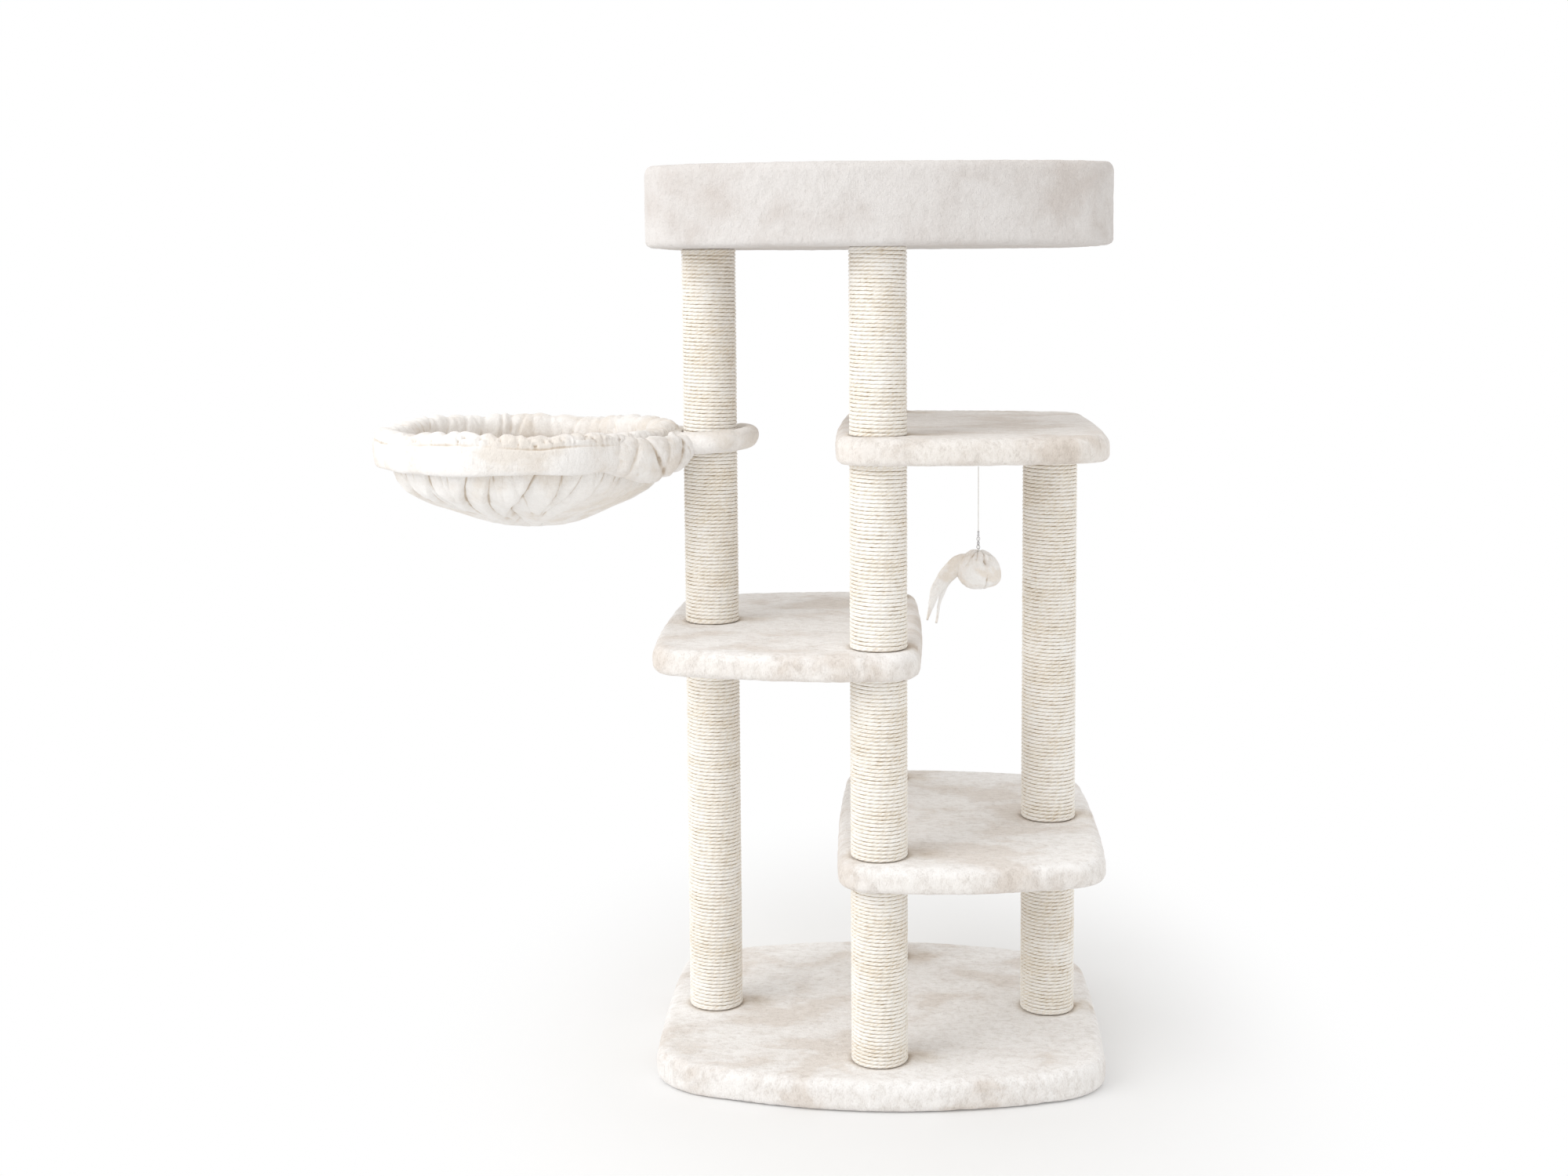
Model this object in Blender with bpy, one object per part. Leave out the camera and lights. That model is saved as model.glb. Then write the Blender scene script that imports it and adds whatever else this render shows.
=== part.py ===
"""Free-standing cat tree: base, four sisal posts in a diamond, three shelves, a top bed,
a round hammock that swivels on the left post and a small toy on a string.

Metres, +Z up. The front is -Y. The origin is on the floor, midway between the four posts.
"""
import math

import bmesh
import bpy
from mathutils import Vector

# ---------------------------------------------------------------- driving dimensions
GAP = 0.0003                # clearance kept between touching pieces

POST_DEPTH = 0.235          # front and back post axes, from the origin
POST_SIDE = 0.282           # left and right post axes, from the origin
POST_RADIUS = 0.0453        # outside of the rope
ROPE_THICKNESS = 0.0060
TUBE_WALL = 0.0040
PLUG_THICKNESS = 0.020
SEGMENT_LENGTH = 0.290      # post length between two levels

BASE_THICKNESS = 0.050
SHELF_THICKNESS = 0.042
BASE_COVER = 0.007          # plush and backing, on every face
SHELF_COVER = 0.008

HALF_WIDTH = 0.366          # base, bed and the outer end of every shelf
BASE_HALF_DEPTH = 0.330
BED_HALF_DEPTH = 0.325
SHELF_HALF_DEPTH = 0.312
SHELF_INNER_X = 0.070       # how far a shelf reaches past the middle
SHELF_BOW_CENTRE = 0.060
FRONT_BOW = 0.60            # depth lost per squared metre from the middle
SIDE_BOW = 0.008            # how much a side draws in at its ends
BASE_CORNER = 0.070
SHELF_CORNER = 0.050
BED_CORNER = 0.045
LEAST_CORNER = 0.006
SHELF_END_INSET = 0.003     # outer end of a shelf, in from the base's side

COVER_FOOT_INSET = 0.006    # rounding of a shelf's or the base's cover, from its underside up
COVER_FOOT_HEIGHT = 0.008
COVER_EDGE_DROP = 0.014
COVER_SHOULDER_INSET = 0.004
COVER_SHOULDER_DROP = 0.005
COVER_TOP_INSET = 0.013

BED_HEIGHT = 0.126
BED_WALL = 0.012            # board under the bed's cover
BED_FLOOR = 0.012
BED_COVER = 0.008
BED_FLOOR_COVER = 0.006
BED_FOOT_INSET = 0.004      # rounding of the bed's cover
BED_FOOT_HEIGHT = 0.006
BED_RIM_INSET = 0.006
BED_RIM_DROP = 0.010
CUSHION_THICKNESS = 0.045
CUSHION_PLAY = 0.003
CUSHION_FOOT_INSET = 0.006
CUSHION_BELLY = 0.35        # share of its thickness where the cushion is widest
CUSHION_SHOULDER = 0.70
CUSHION_SHOULDER_INSET = 0.004
CUSHION_TOP_INSET = 0.040

STUD_RADIUS = 0.0040
STUD_HOLE = 0.0048
STUD_DEPTH = 0.018          # how far a stud or bolt runs into a post plug
WASHER_RADIUS = 0.012
HEAD_RADIUS = 0.0075
HEAD_HEIGHT = 0.0043
WASHER_HEIGHT = 0.0014
ACCESS_HOLE = 0.0145        # hole in a cover around a bolt head
PILOT_RADIUS = 0.0016       # hole for the toy's screw eye
PILOT_DEPTH = 0.019
CUT_MARGIN = 0.010          # how far a cutter runs past the face it opens

PLATE_THICKNESS = 0.003     # hammock bar, clamped between two post segments
PLATE_HALF_WIDTH = 0.018
PLATE_FLARE = 1.35          # the bar is wider where it meets the hoop
PLATE_OVERLAP = 0.002       # how far the bar runs onto the hoop
ROD_RADIUS = 0.004
WELD_OVERLAP = 0.0005
HOOP_RADIUS = 0.235
HOOP_REACH = 0.308          # post axis to hoop centre
CHANNEL_PLAY = 0.0010       # room around the hoop and bar inside the fabric
RIM_HALF_WIDTH = 0.022
RIM_ABOVE_ROD = 0.022
RIM_BELOW_ROD = 0.036
RIM_FOOT_ROUND = 0.006
RIM_TOP_ROUND = 0.008
RIM_ROUND_HEIGHT = 0.012
BOWL_DEPTH = 0.149          # rod centre to the lowest point of the fabric
BOWL_WALL = 0.010
BOWL_CURVE = 1.6            # power of the bowl's profile, outwards from its middle
BOWL_OUTSIDE = 0.90         # width of the bowl's outside, as a share of the rim's
BOWL_INSIDE = 0.94
COLLAR_ROUND = 0.010
COLLAR_ROUND_HEIGHT = 0.012
COLLAR_RADIUS = 0.083
COLLAR_BORE = 0.0470
COLLAR_ABOVE_ROD = 0.022
COLLAR_BELOW_ROD = 0.024

TOY_X = 0.160
TOY_Y = -0.100
EYE_WIRE = 0.0009
EYE_RADIUS = 0.0045
EYE_DROP = 0.0070           # shelf underside to the eye's centre
EYE_SHANK = 0.016
EYE_BEND = 0.004            # straight part of the shank, above the shelf's underside
RING_PLAY = 0.0006          # between the ring and the eye
STRING_PLAY = 0.0005        # between the string and the ring
STRING_GAP = 0.0004         # between the string and the toy
RING_WIRE = 0.0007
RING_RADIUS = 0.0050
STRING_RADIUS = 0.0007
TOY_TOP = 0.847             # height of the toy's attachment point
TOY_BODY_RADIUS = 0.034
TOY_SPINE = [               # (x, z, radius) along the middle of the plump body and its tail
    (0.0365, -0.003, 0.0), (0.0340, -0.003, 0.014), (0.0240, -0.001, 0.027), (0.0060, 0.0, 0.034),
    (-0.0120, 0.0, 0.033), (-0.0280, -0.004, 0.025), (-0.0430, -0.017, 0.017),
    (-0.0590, -0.036, 0.013), (-0.0740, -0.062, 0.009), (-0.0840, -0.084, 0.004), (-0.0850, -0.088, 0.0),
]

POST_STEPS = 16
TUBE_STEPS = 12
HOLE_STEPS = 10
HOOP_STEPS = 28
STUD_STEPS = 8
ROD_STEPS = 8
COLLAR_STEPS = 20
BORE_STEPS = 24
EYE_STEPS = 12
RING_STEPS = 16
STRING_STEPS = 40
TOY_STEPS = 10
CORNER_STEPS = 4
SIDE_STEPS = 2
FRONT_STEPS = 6
SMOOTH_ANGLE = 40           # degrees

POSTS = {
    "front": (0.0, -POST_DEPTH),
    "back": (0.0, POST_DEPTH),
    "left": (-POST_SIDE, 0.0),
    "right": (POST_SIDE, 0.0),
}

PALETTE = {                 # colour, roughness, metallic
    "plush": ((0.80, 0.77, 0.73), 0.95, 0.0),
    "sisal": ((0.78, 0.72, 0.60), 0.85, 0.0),
    "cardboard": ((0.55, 0.42, 0.28), 0.90, 0.0),
    "board": ((0.62, 0.48, 0.32), 0.80, 0.0),
    "steel": ((0.60, 0.60, 0.62), 0.35, 1.0),
    "string": ((0.88, 0.88, 0.86), 0.60, 0.0),
    "toy_plush": ((0.86, 0.82, 0.75), 0.95, 0.0),
}


# ---------------------------------------------------------------- levels
def underside(level):
    """Height of the underside of level 1 to 3 (shelves) or 4 (bed)."""
    return BASE_THICKNESS + level * SEGMENT_LENGTH + (level - 1) * SHELF_THICKNESS


def topside(level):
    """Height that a post stands on: level 0 is the base."""
    if level == 0:
        return BASE_THICKNESS
    return underside(level) + SHELF_THICKNESS


PLATE_Z = (topside(2) + underside(4) - PLATE_THICKNESS) / 2     # bottom of the hammock bar
ROD_DROP = ROD_RADIUS - WELD_OVERLAP                                  # the rod is welded under the bar


# ---------------------------------------------------------------- building blocks
def clear_scene():
    for item in list(bpy.data.objects):
        bpy.data.objects.remove(item, do_unlink=True)


def finish(name, bm, kind, location=(0, 0, 0), parent=None):
    """Turn a bmesh into a named object with its own material."""
    bmesh.ops.recalc_face_normals(bm, faces=bm.faces)
    mesh = bpy.data.meshes.new(name)
    bm.to_mesh(mesh)
    bm.free()
    item = bpy.data.objects.new(name, mesh)
    bpy.context.scene.collection.objects.link(item)
    item.location = location
    item.parent = parent
    if kind:
        mesh.materials.append(make_material(name, kind))
    return item


def make_material(name, kind):
    colour, roughness, metallic = PALETTE[kind]
    material = bpy.data.materials.new(name + "_" + kind)
    material.use_nodes = True
    shader = material.node_tree.nodes["Principled BSDF"]
    shader.inputs["Base Color"].default_value = (*colour, 1.0)
    shader.inputs["Roughness"].default_value = roughness
    shader.inputs["Metallic"].default_value = metallic
    return material


def smooth(item):
    item.data.shade_smooth()
    item.data.set_sharp_from_angle(angle=math.radians(SMOOTH_ANGLE))


def empty(name, location, parent=None):
    item = bpy.data.objects.new(name, None)
    bpy.context.scene.collection.objects.link(item)
    item.location = location
    item.parent = parent
    return item


def loft(bm, rings):
    """Close a stack of rings, each a list of (x, y, z), with a flat cap at both ends."""
    rows = [[bm.verts.new(point) for point in ring] for ring in rings]
    count = len(rows[0])
    for low, high in zip(rows, rows[1:]):
        for i in range(count):
            j = (i + 1) % count
            bm.faces.new((low[i], low[j], high[j], high[i]))
    bm.faces.new(list(reversed(rows[0])))
    bm.faces.new(rows[-1])


def turn(bm, profile, steps, centre=(0, 0), closed=False):
    """Turn (radius, z) points about a vertical axis.

    A closed profile runs round a ring's section. An open one starts and ends on the axis.
    """
    rows = []
    for radius, z in profile:
        if radius == 0:
            rows.append([bm.verts.new((centre[0], centre[1], z))])
            continue
        row = []
        for i in range(steps):
            angle = 2 * math.pi * i / steps
            x = centre[0] + radius * math.cos(angle)
            y = centre[1] + radius * math.sin(angle)
            row.append(bm.verts.new((x, y, z)))
        rows.append(row)
    pairs = list(zip(rows, rows[1:]))
    if closed:
        pairs.append((rows[-1], rows[0]))
    for low, high in pairs:
        for i in range(steps):
            j = (i + 1) % steps
            corners = [low[i % len(low)], low[j % len(low)], high[j % len(high)], high[i % len(high)]]
            bm.faces.new(list(dict.fromkeys(corners)))


def add_torus(bm, major, minor, major_steps, minor_steps, z):
    """A ring of round section about the local vertical axis."""
    section = []
    for i in range(minor_steps):
        angle = 2 * math.pi * i / minor_steps
        section.append((major + minor * math.cos(angle), z + minor * math.sin(angle)))
    turn(bm, section, major_steps, closed=True)


def boolean(target, bm, name, operation="DIFFERENCE"):
    """Use a bmesh, given in the target's own frame, to cut or to extend the target."""
    cutter = finish(name, bm, None, parent=target)
    cutter.hide_render = True
    cutter.display_type = "WIRE"
    modifier = target.modifiers.new(name, "BOOLEAN")
    modifier.operation = operation
    modifier.solver = "EXACT"
    modifier.object = cutter


def drill(target, name, holes):
    """Cut vertical holes, each given as (x, y, radius, low z, high z) in the target's frame."""
    bm = bmesh.new()
    for x, y, radius, low, high in holes:
        turn(bm, [(0, low), (radius, low), (radius, high), (0, high)], HOLE_STEPS, (x, y))
    boolean(target, bm, name)


# ---------------------------------------------------------------- plan outlines
def outline(low_x, high_x, half_depth, corner, bow_centre=0.0, inset=0.0):
    """Rounded rectangle with bowed front and back and slightly bowed sides, seen from above."""
    low_x, high_x = low_x + inset, high_x - inset
    depth = half_depth - inset
    corner = max(corner - inset, LEAST_CORNER)
    middle = (low_x + high_x) / 2
    half = (high_x - low_x) / 2
    points = []
    corners = ((1, -1, -90), (1, 1, 0), (-1, 1, 90), (-1, -1, 180))
    for side_x, side_y, start in corners:
        centre_x = middle + side_x * (half - corner)
        centre_y = side_y * (depth - corner)
        for step in range(CORNER_STEPS + 1):
            angle = math.radians(start + 90 * step / CORNER_STEPS)
            points.append((centre_x + corner * math.cos(angle), centre_y + corner * math.sin(angle)))
        # points along the edge that follows this corner: a side, or the front or back
        along_side = side_x != side_y
        count = SIDE_STEPS if along_side else FRONT_STEPS
        for step in range(1, count):
            part = step / count
            if along_side:
                points.append((middle + side_x * half, side_y * (depth - corner) * (1 - 2 * part)))
            else:
                points.append((middle + side_x * (half - corner) * (1 - 2 * part), side_y * depth))
    bent = []
    for x, y in points:
        pull = SIDE_BOW * (y / half_depth) ** 2 * (x - middle) / half
        squeeze = 1 - FRONT_BOW * (x - bow_centre) ** 2 / half_depth
        bent.append((x - pull, y * squeeze))
    return bent


def flat_ring(points, z):
    return [(x, y, z) for x, y in points]


def shelf_span(side):
    """Lowest and highest X of a shelf on the given side, and where its bow is centred."""
    if side == "right":
        return -SHELF_INNER_X, HALF_WIDTH - SHELF_END_INSET, SHELF_BOW_CENTRE
    return -HALF_WIDTH + SHELF_END_INSET, SHELF_INNER_X, -SHELF_BOW_CENTRE


# ---------------------------------------------------------------- covered boards
def covered_board(name, plan, z, thickness, cover, through=(), bolted=(), blind=(), pilots=()):
    """A particle board and the plush cover around it.

    plan(inset) gives the outline. through lists posts whose studs pass right through, bolted those
    held by a bolt from below, whose head has an access hole in the cover, and blind those whose
    stud ends in the board. pilots are (x, y) of screw eyes in the underside.
    """
    low, high = cover, thickness - cover
    bm = bmesh.new()
    loft(bm, [flat_ring(plan(cover + GAP), low + GAP), flat_ring(plan(cover + GAP), high - GAP)])
    board = finish(name + "_board", bm, "board", (0, 0, z))
    eyes = [(x, y, PILOT_RADIUS, -CUT_MARGIN, PILOT_DEPTH) for x, y in pilots]
    every = [*through, *bolted, *blind]
    drill(board, name + "_board_holes",
          [(*POSTS[p], STUD_HOLE, -CUT_MARGIN, thickness + CUT_MARGIN) for p in every] + eyes)

    bm = bmesh.new()
    loft(bm, [
        flat_ring(plan(COVER_FOOT_INSET), 0.0),
        flat_ring(plan(0.0), COVER_FOOT_HEIGHT),
        flat_ring(plan(0.0), thickness - COVER_EDGE_DROP),
        flat_ring(plan(COVER_SHOULDER_INSET), thickness - COVER_SHOULDER_DROP),
        flat_ring(plan(COVER_TOP_INSET), thickness),
    ])
    wrap = finish(name + "_cover", bm, "plush", (0, 0, z))
    bm = bmesh.new()
    loft(bm, [flat_ring(plan(cover), low), flat_ring(plan(cover), high)])
    boolean(wrap, bm, name + "_cavity")
    holes = [(*POSTS[p], STUD_HOLE, -CUT_MARGIN, thickness + CUT_MARGIN) for p in through]
    holes += [(*POSTS[p], STUD_HOLE, thickness / 2, thickness + CUT_MARGIN) for p in bolted]
    holes += [(*POSTS[p], ACCESS_HOLE, -CUT_MARGIN, thickness / 2) for p in bolted]
    holes += [(*POSTS[p], STUD_HOLE, -CUT_MARGIN, thickness / 2) for p in blind]
    drill(wrap, name + "_cover_holes", holes + eyes)


def build_base():
    def plan(inset):
        return outline(-HALF_WIDTH, HALF_WIDTH, BASE_HALF_DEPTH, BASE_CORNER, 0.0, inset)
    covered_board("base", plan, 0.0, BASE_THICKNESS, BASE_COVER, bolted=tuple(POSTS))


def build_shelf(name, side, level, through, blind=(), pilots=()):
    low_x, high_x, bow_centre = shelf_span(side)

    def plan(inset):
        return outline(low_x, high_x, SHELF_HALF_DEPTH, SHELF_CORNER, bow_centre, inset)
    covered_board(name, plan, underside(level), SHELF_THICKNESS, SHELF_COVER, through,
                  blind=blind, pilots=pilots)


# ---------------------------------------------------------------- bed
def bed_plan(inset):
    return outline(-HALF_WIDTH, HALF_WIDTH, BED_HALF_DEPTH, BED_CORNER, 0.0, inset)


def tray_rings(grow):
    """The bed's board tray, grown by a clearance on every face."""
    outer = BED_COVER + GAP - grow
    inner = BED_COVER + GAP + BED_WALL + grow
    bottom = BED_COVER + GAP - grow
    floor = BED_COVER + GAP + BED_FLOOR + grow
    top = BED_HEIGHT - BED_COVER - GAP + grow
    return [
        flat_ring(bed_plan(outer), bottom),
        flat_ring(bed_plan(outer), top),
        flat_ring(bed_plan(inner), top),
        flat_ring(bed_plan(inner), floor),
    ]


def build_bed():
    z = underside(4)
    carried = ("front", "back", "left")
    bm = bmesh.new()
    loft(bm, tray_rings(0.0))
    tray = finish("bed_tray", bm, "board", (0, 0, z))
    drill(tray, "bed_tray_holes", [(*POSTS[p], STUD_HOLE, -CUT_MARGIN, BED_HEIGHT / 2) for p in carried])

    inner = 2 * (BED_COVER + GAP) + BED_WALL
    floor = BED_COVER + 2 * GAP + BED_FLOOR + BED_FLOOR_COVER
    bm = bmesh.new()
    loft(bm, [
        flat_ring(bed_plan(BED_FOOT_INSET), 0.0),
        flat_ring(bed_plan(0.0), BED_FOOT_HEIGHT),
        flat_ring(bed_plan(0.0), BED_HEIGHT - BED_RIM_DROP),
        flat_ring(bed_plan(BED_RIM_INSET), BED_HEIGHT),
        flat_ring(bed_plan(inner - BED_RIM_INSET), BED_HEIGHT),
        flat_ring(bed_plan(inner), BED_HEIGHT - BED_RIM_DROP),
        flat_ring(bed_plan(inner), floor),
    ])
    wrap = finish("bed_cover", bm, "plush", (0, 0, z))
    bm = bmesh.new()
    loft(bm, tray_rings(GAP))
    boolean(wrap, bm, "bed_cover_cavity")
    middle = BED_COVER + BED_FLOOR / 2
    holes = [(*POSTS[p], STUD_HOLE, -CUT_MARGIN, middle) for p in carried]
    holes += [(*POSTS[p], ACCESS_HOLE, middle, BED_HEIGHT / 2) for p in carried]
    drill(wrap, "bed_cover_holes", holes)

    bm = bmesh.new()
    edge = inner + CUSHION_PLAY
    loft(bm, [
        flat_ring(bed_plan(edge + CUSHION_FOOT_INSET), 0.0),
        flat_ring(bed_plan(edge), CUSHION_THICKNESS * CUSHION_BELLY),
        flat_ring(bed_plan(edge + CUSHION_SHOULDER_INSET), CUSHION_THICKNESS * CUSHION_SHOULDER),
        flat_ring(bed_plan(edge + CUSHION_TOP_INSET), CUSHION_THICKNESS),
    ])
    finish("bed_cushion", bm, "plush", (0, 0, z + floor + 2 * GAP))


# ---------------------------------------------------------------- posts and fasteners
def build_segment(post, number, low, high):
    """One post segment: a cardboard tube with end plugs, and the rope wound on it."""
    length = high - low - 2 * GAP
    where = (*POSTS[post], low + GAP)
    tube_radius = POST_RADIUS * math.cos(math.pi / POST_STEPS) - ROPE_THICKNESS - GAP
    hollow = tube_radius - TUBE_WALL
    bm = bmesh.new()
    turn(bm, [
        (STUD_HOLE, 0), (tube_radius, 0), (tube_radius, length), (STUD_HOLE, length),
        (STUD_HOLE, length - PLUG_THICKNESS), (hollow, length - PLUG_THICKNESS),
        (hollow, PLUG_THICKNESS), (STUD_HOLE, PLUG_THICKNESS),
    ], TUBE_STEPS, closed=True)
    smooth(finish(f"{post}_post_{number}_tube", bm, "cardboard", where))
    bore = (tube_radius + GAP) / math.cos(math.pi / POST_STEPS)
    bm = bmesh.new()
    turn(bm, [(bore, 0), (POST_RADIUS, 0), (POST_RADIUS, length), (bore, length)], POST_STEPS, closed=True)
    smooth(finish(f"{post}_post_{number}_sisal", bm, "sisal", where))


def build_stud(name, post, low, high):
    bm = bmesh.new()
    turn(bm, [(0, low), (STUD_RADIUS, low), (STUD_RADIUS, high), (0, high)], STUD_STEPS)
    smooth(finish(name, bm, "steel", (*POSTS[post], 0)))


def build_bolt(name, post, seat, length, direction):
    """A bolt with a washer whose seat is at a height and whose shank runs up (1) or down (-1)."""
    profile = [
        (0, -HEAD_HEIGHT - WASHER_HEIGHT), (HEAD_RADIUS, -HEAD_HEIGHT - WASHER_HEIGHT),
        (HEAD_RADIUS, -WASHER_HEIGHT), (WASHER_RADIUS, -WASHER_HEIGHT), (WASHER_RADIUS, 0),
        (STUD_RADIUS, 0), (STUD_RADIUS, length), (0, length),
    ]
    bm = bmesh.new()
    turn(bm, [(radius, direction * z) for radius, z in profile], HOLE_STEPS)
    smooth(finish(name, bm, "steel", (*POSTS[post], seat)))


def build_posts():
    for post in ("front", "back"):
        for level in range(4):
            build_segment(post, level + 1, topside(level), underside(level + 1))
        for level in (1, 2, 3):
            build_stud(f"{post}_stud_{level}", post, underside(level) - STUD_DEPTH,
                       topside(level) + STUD_DEPTH)
    joint_low = PLATE_Z - GAP
    joint_high = PLATE_Z + PLATE_THICKNESS + GAP
    build_segment("left", 1, topside(0), underside(2))
    build_segment("left", 2, topside(2), joint_low)
    build_segment("left", 3, joint_high, underside(4))
    build_stud("left_stud_2", "left", underside(2) - STUD_DEPTH, topside(2) + STUD_DEPTH)
    build_stud("left_hammock_stud", "left", joint_low - STUD_DEPTH, joint_high + STUD_DEPTH)
    build_segment("right", 1, topside(0), underside(1))
    build_segment("right", 2, topside(1), underside(3))
    build_stud("right_stud_1", "right", underside(1) - STUD_DEPTH, topside(1) + STUD_DEPTH)
    board_top = topside(3) - SHELF_COVER - 2 * GAP
    build_stud("right_stud_3", "right", underside(3) - STUD_DEPTH, board_top)

    base_seat = BASE_COVER
    for post in POSTS:
        build_bolt(f"{post}_base_bolt", post, base_seat, BASE_THICKNESS - base_seat + STUD_DEPTH, 1)
    bed_seat = underside(4) + BED_COVER + BED_FLOOR + 2 * GAP
    for post in ("front", "back", "left"):
        build_bolt(f"{post}_bed_bolt", post, bed_seat, bed_seat - underside(4) + STUD_DEPTH, -1)


# ---------------------------------------------------------------- hammock
def bar_outline(grow):
    """Flat bar from the stud to the hoop, rounded about the stud, in the swivel's frame."""
    half = PLATE_HALF_WIDTH + grow
    points = []
    for step in range(9):
        angle = math.radians(-90 + 22.5 * step)
        points.append((half * math.cos(angle), half * math.sin(angle)))
    reach = -(HOOP_REACH - HOOP_RADIUS) - PLATE_OVERLAP - grow
    points.append((reach, half * PLATE_FLARE))
    points.append((reach, -half * PLATE_FLARE))
    return points


def build_hammock():
    """Everything is in the frame of the swivel: the post axis, at the bottom of the bar."""
    pivot = empty("hammock_pivot", (-POST_SIDE, 0, PLATE_Z))
    rod_z = -ROD_DROP

    bm = bmesh.new()
    add_torus(bm, HOOP_RADIUS, ROD_RADIUS, HOOP_STEPS, ROD_STEPS, rod_z)
    bmesh.ops.translate(bm, verts=bm.verts, vec=(-HOOP_REACH, 0, 0))
    frame = finish("hammock_frame", bm, "steel", parent=pivot)
    bm = bmesh.new()
    loft(bm, [flat_ring(bar_outline(0), 0.0), flat_ring(bar_outline(0), PLATE_THICKNESS)])
    boolean(frame, bm, "hammock_bar", "UNION")
    drill(frame, "hammock_bar_hole", [(0, 0, STUD_HOLE, -CUT_MARGIN, CUT_MARGIN)])

    inner = HOOP_RADIUS - RIM_HALF_WIDTH
    outer = HOOP_RADIUS + RIM_HALF_WIDTH
    top = rod_z + RIM_ABOVE_ROD
    low = rod_z - RIM_BELOW_ROD
    bottom = rod_z - BOWL_DEPTH
    depth = low - bottom
    profile = [(0, bottom)]
    for part in (0.25, 0.5, 0.75, 0.95):
        profile.append((outer * BOWL_OUTSIDE * part, bottom + depth * part ** BOWL_CURVE))
    profile += [
        (outer - RIM_FOOT_ROUND, low), (outer, low + RIM_ROUND_HEIGHT), (outer, top - RIM_ROUND_HEIGHT),
        (outer - RIM_TOP_ROUND, top), (inner + RIM_TOP_ROUND, top), (inner, top - RIM_ROUND_HEIGHT),
        (inner, low + RIM_ROUND_HEIGHT),
    ]
    for part in (0.95, 0.72, 0.45, 0.2):
        profile.append((inner * BOWL_INSIDE * part, bottom + BOWL_WALL + depth * part ** BOWL_CURVE))
    profile.append((0, bottom + BOWL_WALL))
    bm = bmesh.new()
    turn(bm, profile, HOOP_STEPS, (-HOOP_REACH, 0))
    sling = finish("hammock_sling", bm, "plush", parent=pivot)
    bm = bmesh.new()
    collar_top = rod_z + COLLAR_ABOVE_ROD
    collar_low = rod_z - COLLAR_BELOW_ROD
    turn(bm, [
        (0, collar_low), (COLLAR_RADIUS - COLLAR_ROUND, collar_low),
        (COLLAR_RADIUS, collar_low + COLLAR_ROUND_HEIGHT), (COLLAR_RADIUS, collar_top - COLLAR_ROUND_HEIGHT),
        (COLLAR_RADIUS - COLLAR_ROUND, collar_top), (0, collar_top),
    ], COLLAR_STEPS)
    boolean(sling, bm, "hammock_collar", "UNION")
    bm = bmesh.new()
    reach = 2 * HOOP_RADIUS
    turn(bm, [(0, -reach), (COLLAR_BORE, -reach), (COLLAR_BORE, reach), (0, reach)], BORE_STEPS)
    boolean(sling, bm, "hammock_post_room")
    bm = bmesh.new()
    add_torus(bm, HOOP_RADIUS, ROD_RADIUS + CHANNEL_PLAY, HOOP_STEPS, ROD_STEPS, rod_z)
    bmesh.ops.translate(bm, verts=bm.verts, vec=(-HOOP_REACH, 0, 0))
    boolean(sling, bm, "hammock_rod_channel")
    bm = bmesh.new()
    room = CHANNEL_PLAY
    loft(bm, [flat_ring(bar_outline(room), -room), flat_ring(bar_outline(room), PLATE_THICKNESS + room)])
    boolean(sling, bm, "hammock_bar_channel")


# ---------------------------------------------------------------- toy
def wire(name, kind, points, radius, parent, closed=False, sides=1):
    """A round wire along a list of points."""
    curve = bpy.data.curves.new(name, "CURVE")
    curve.dimensions = "3D"
    curve.bevel_depth = radius
    curve.bevel_resolution = sides
    curve.use_fill_caps = not closed
    spline = curve.splines.new("POLY")
    spline.points.add(len(points) - 1)
    for slot, point in zip(spline.points, points):
        slot.co = (*point, 1)
    spline.use_cyclic_u = closed
    curve.materials.append(make_material(name, kind))
    item = bpy.data.objects.new(name, curve)
    bpy.context.scene.collection.objects.link(item)
    item.parent = parent
    return item


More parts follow.
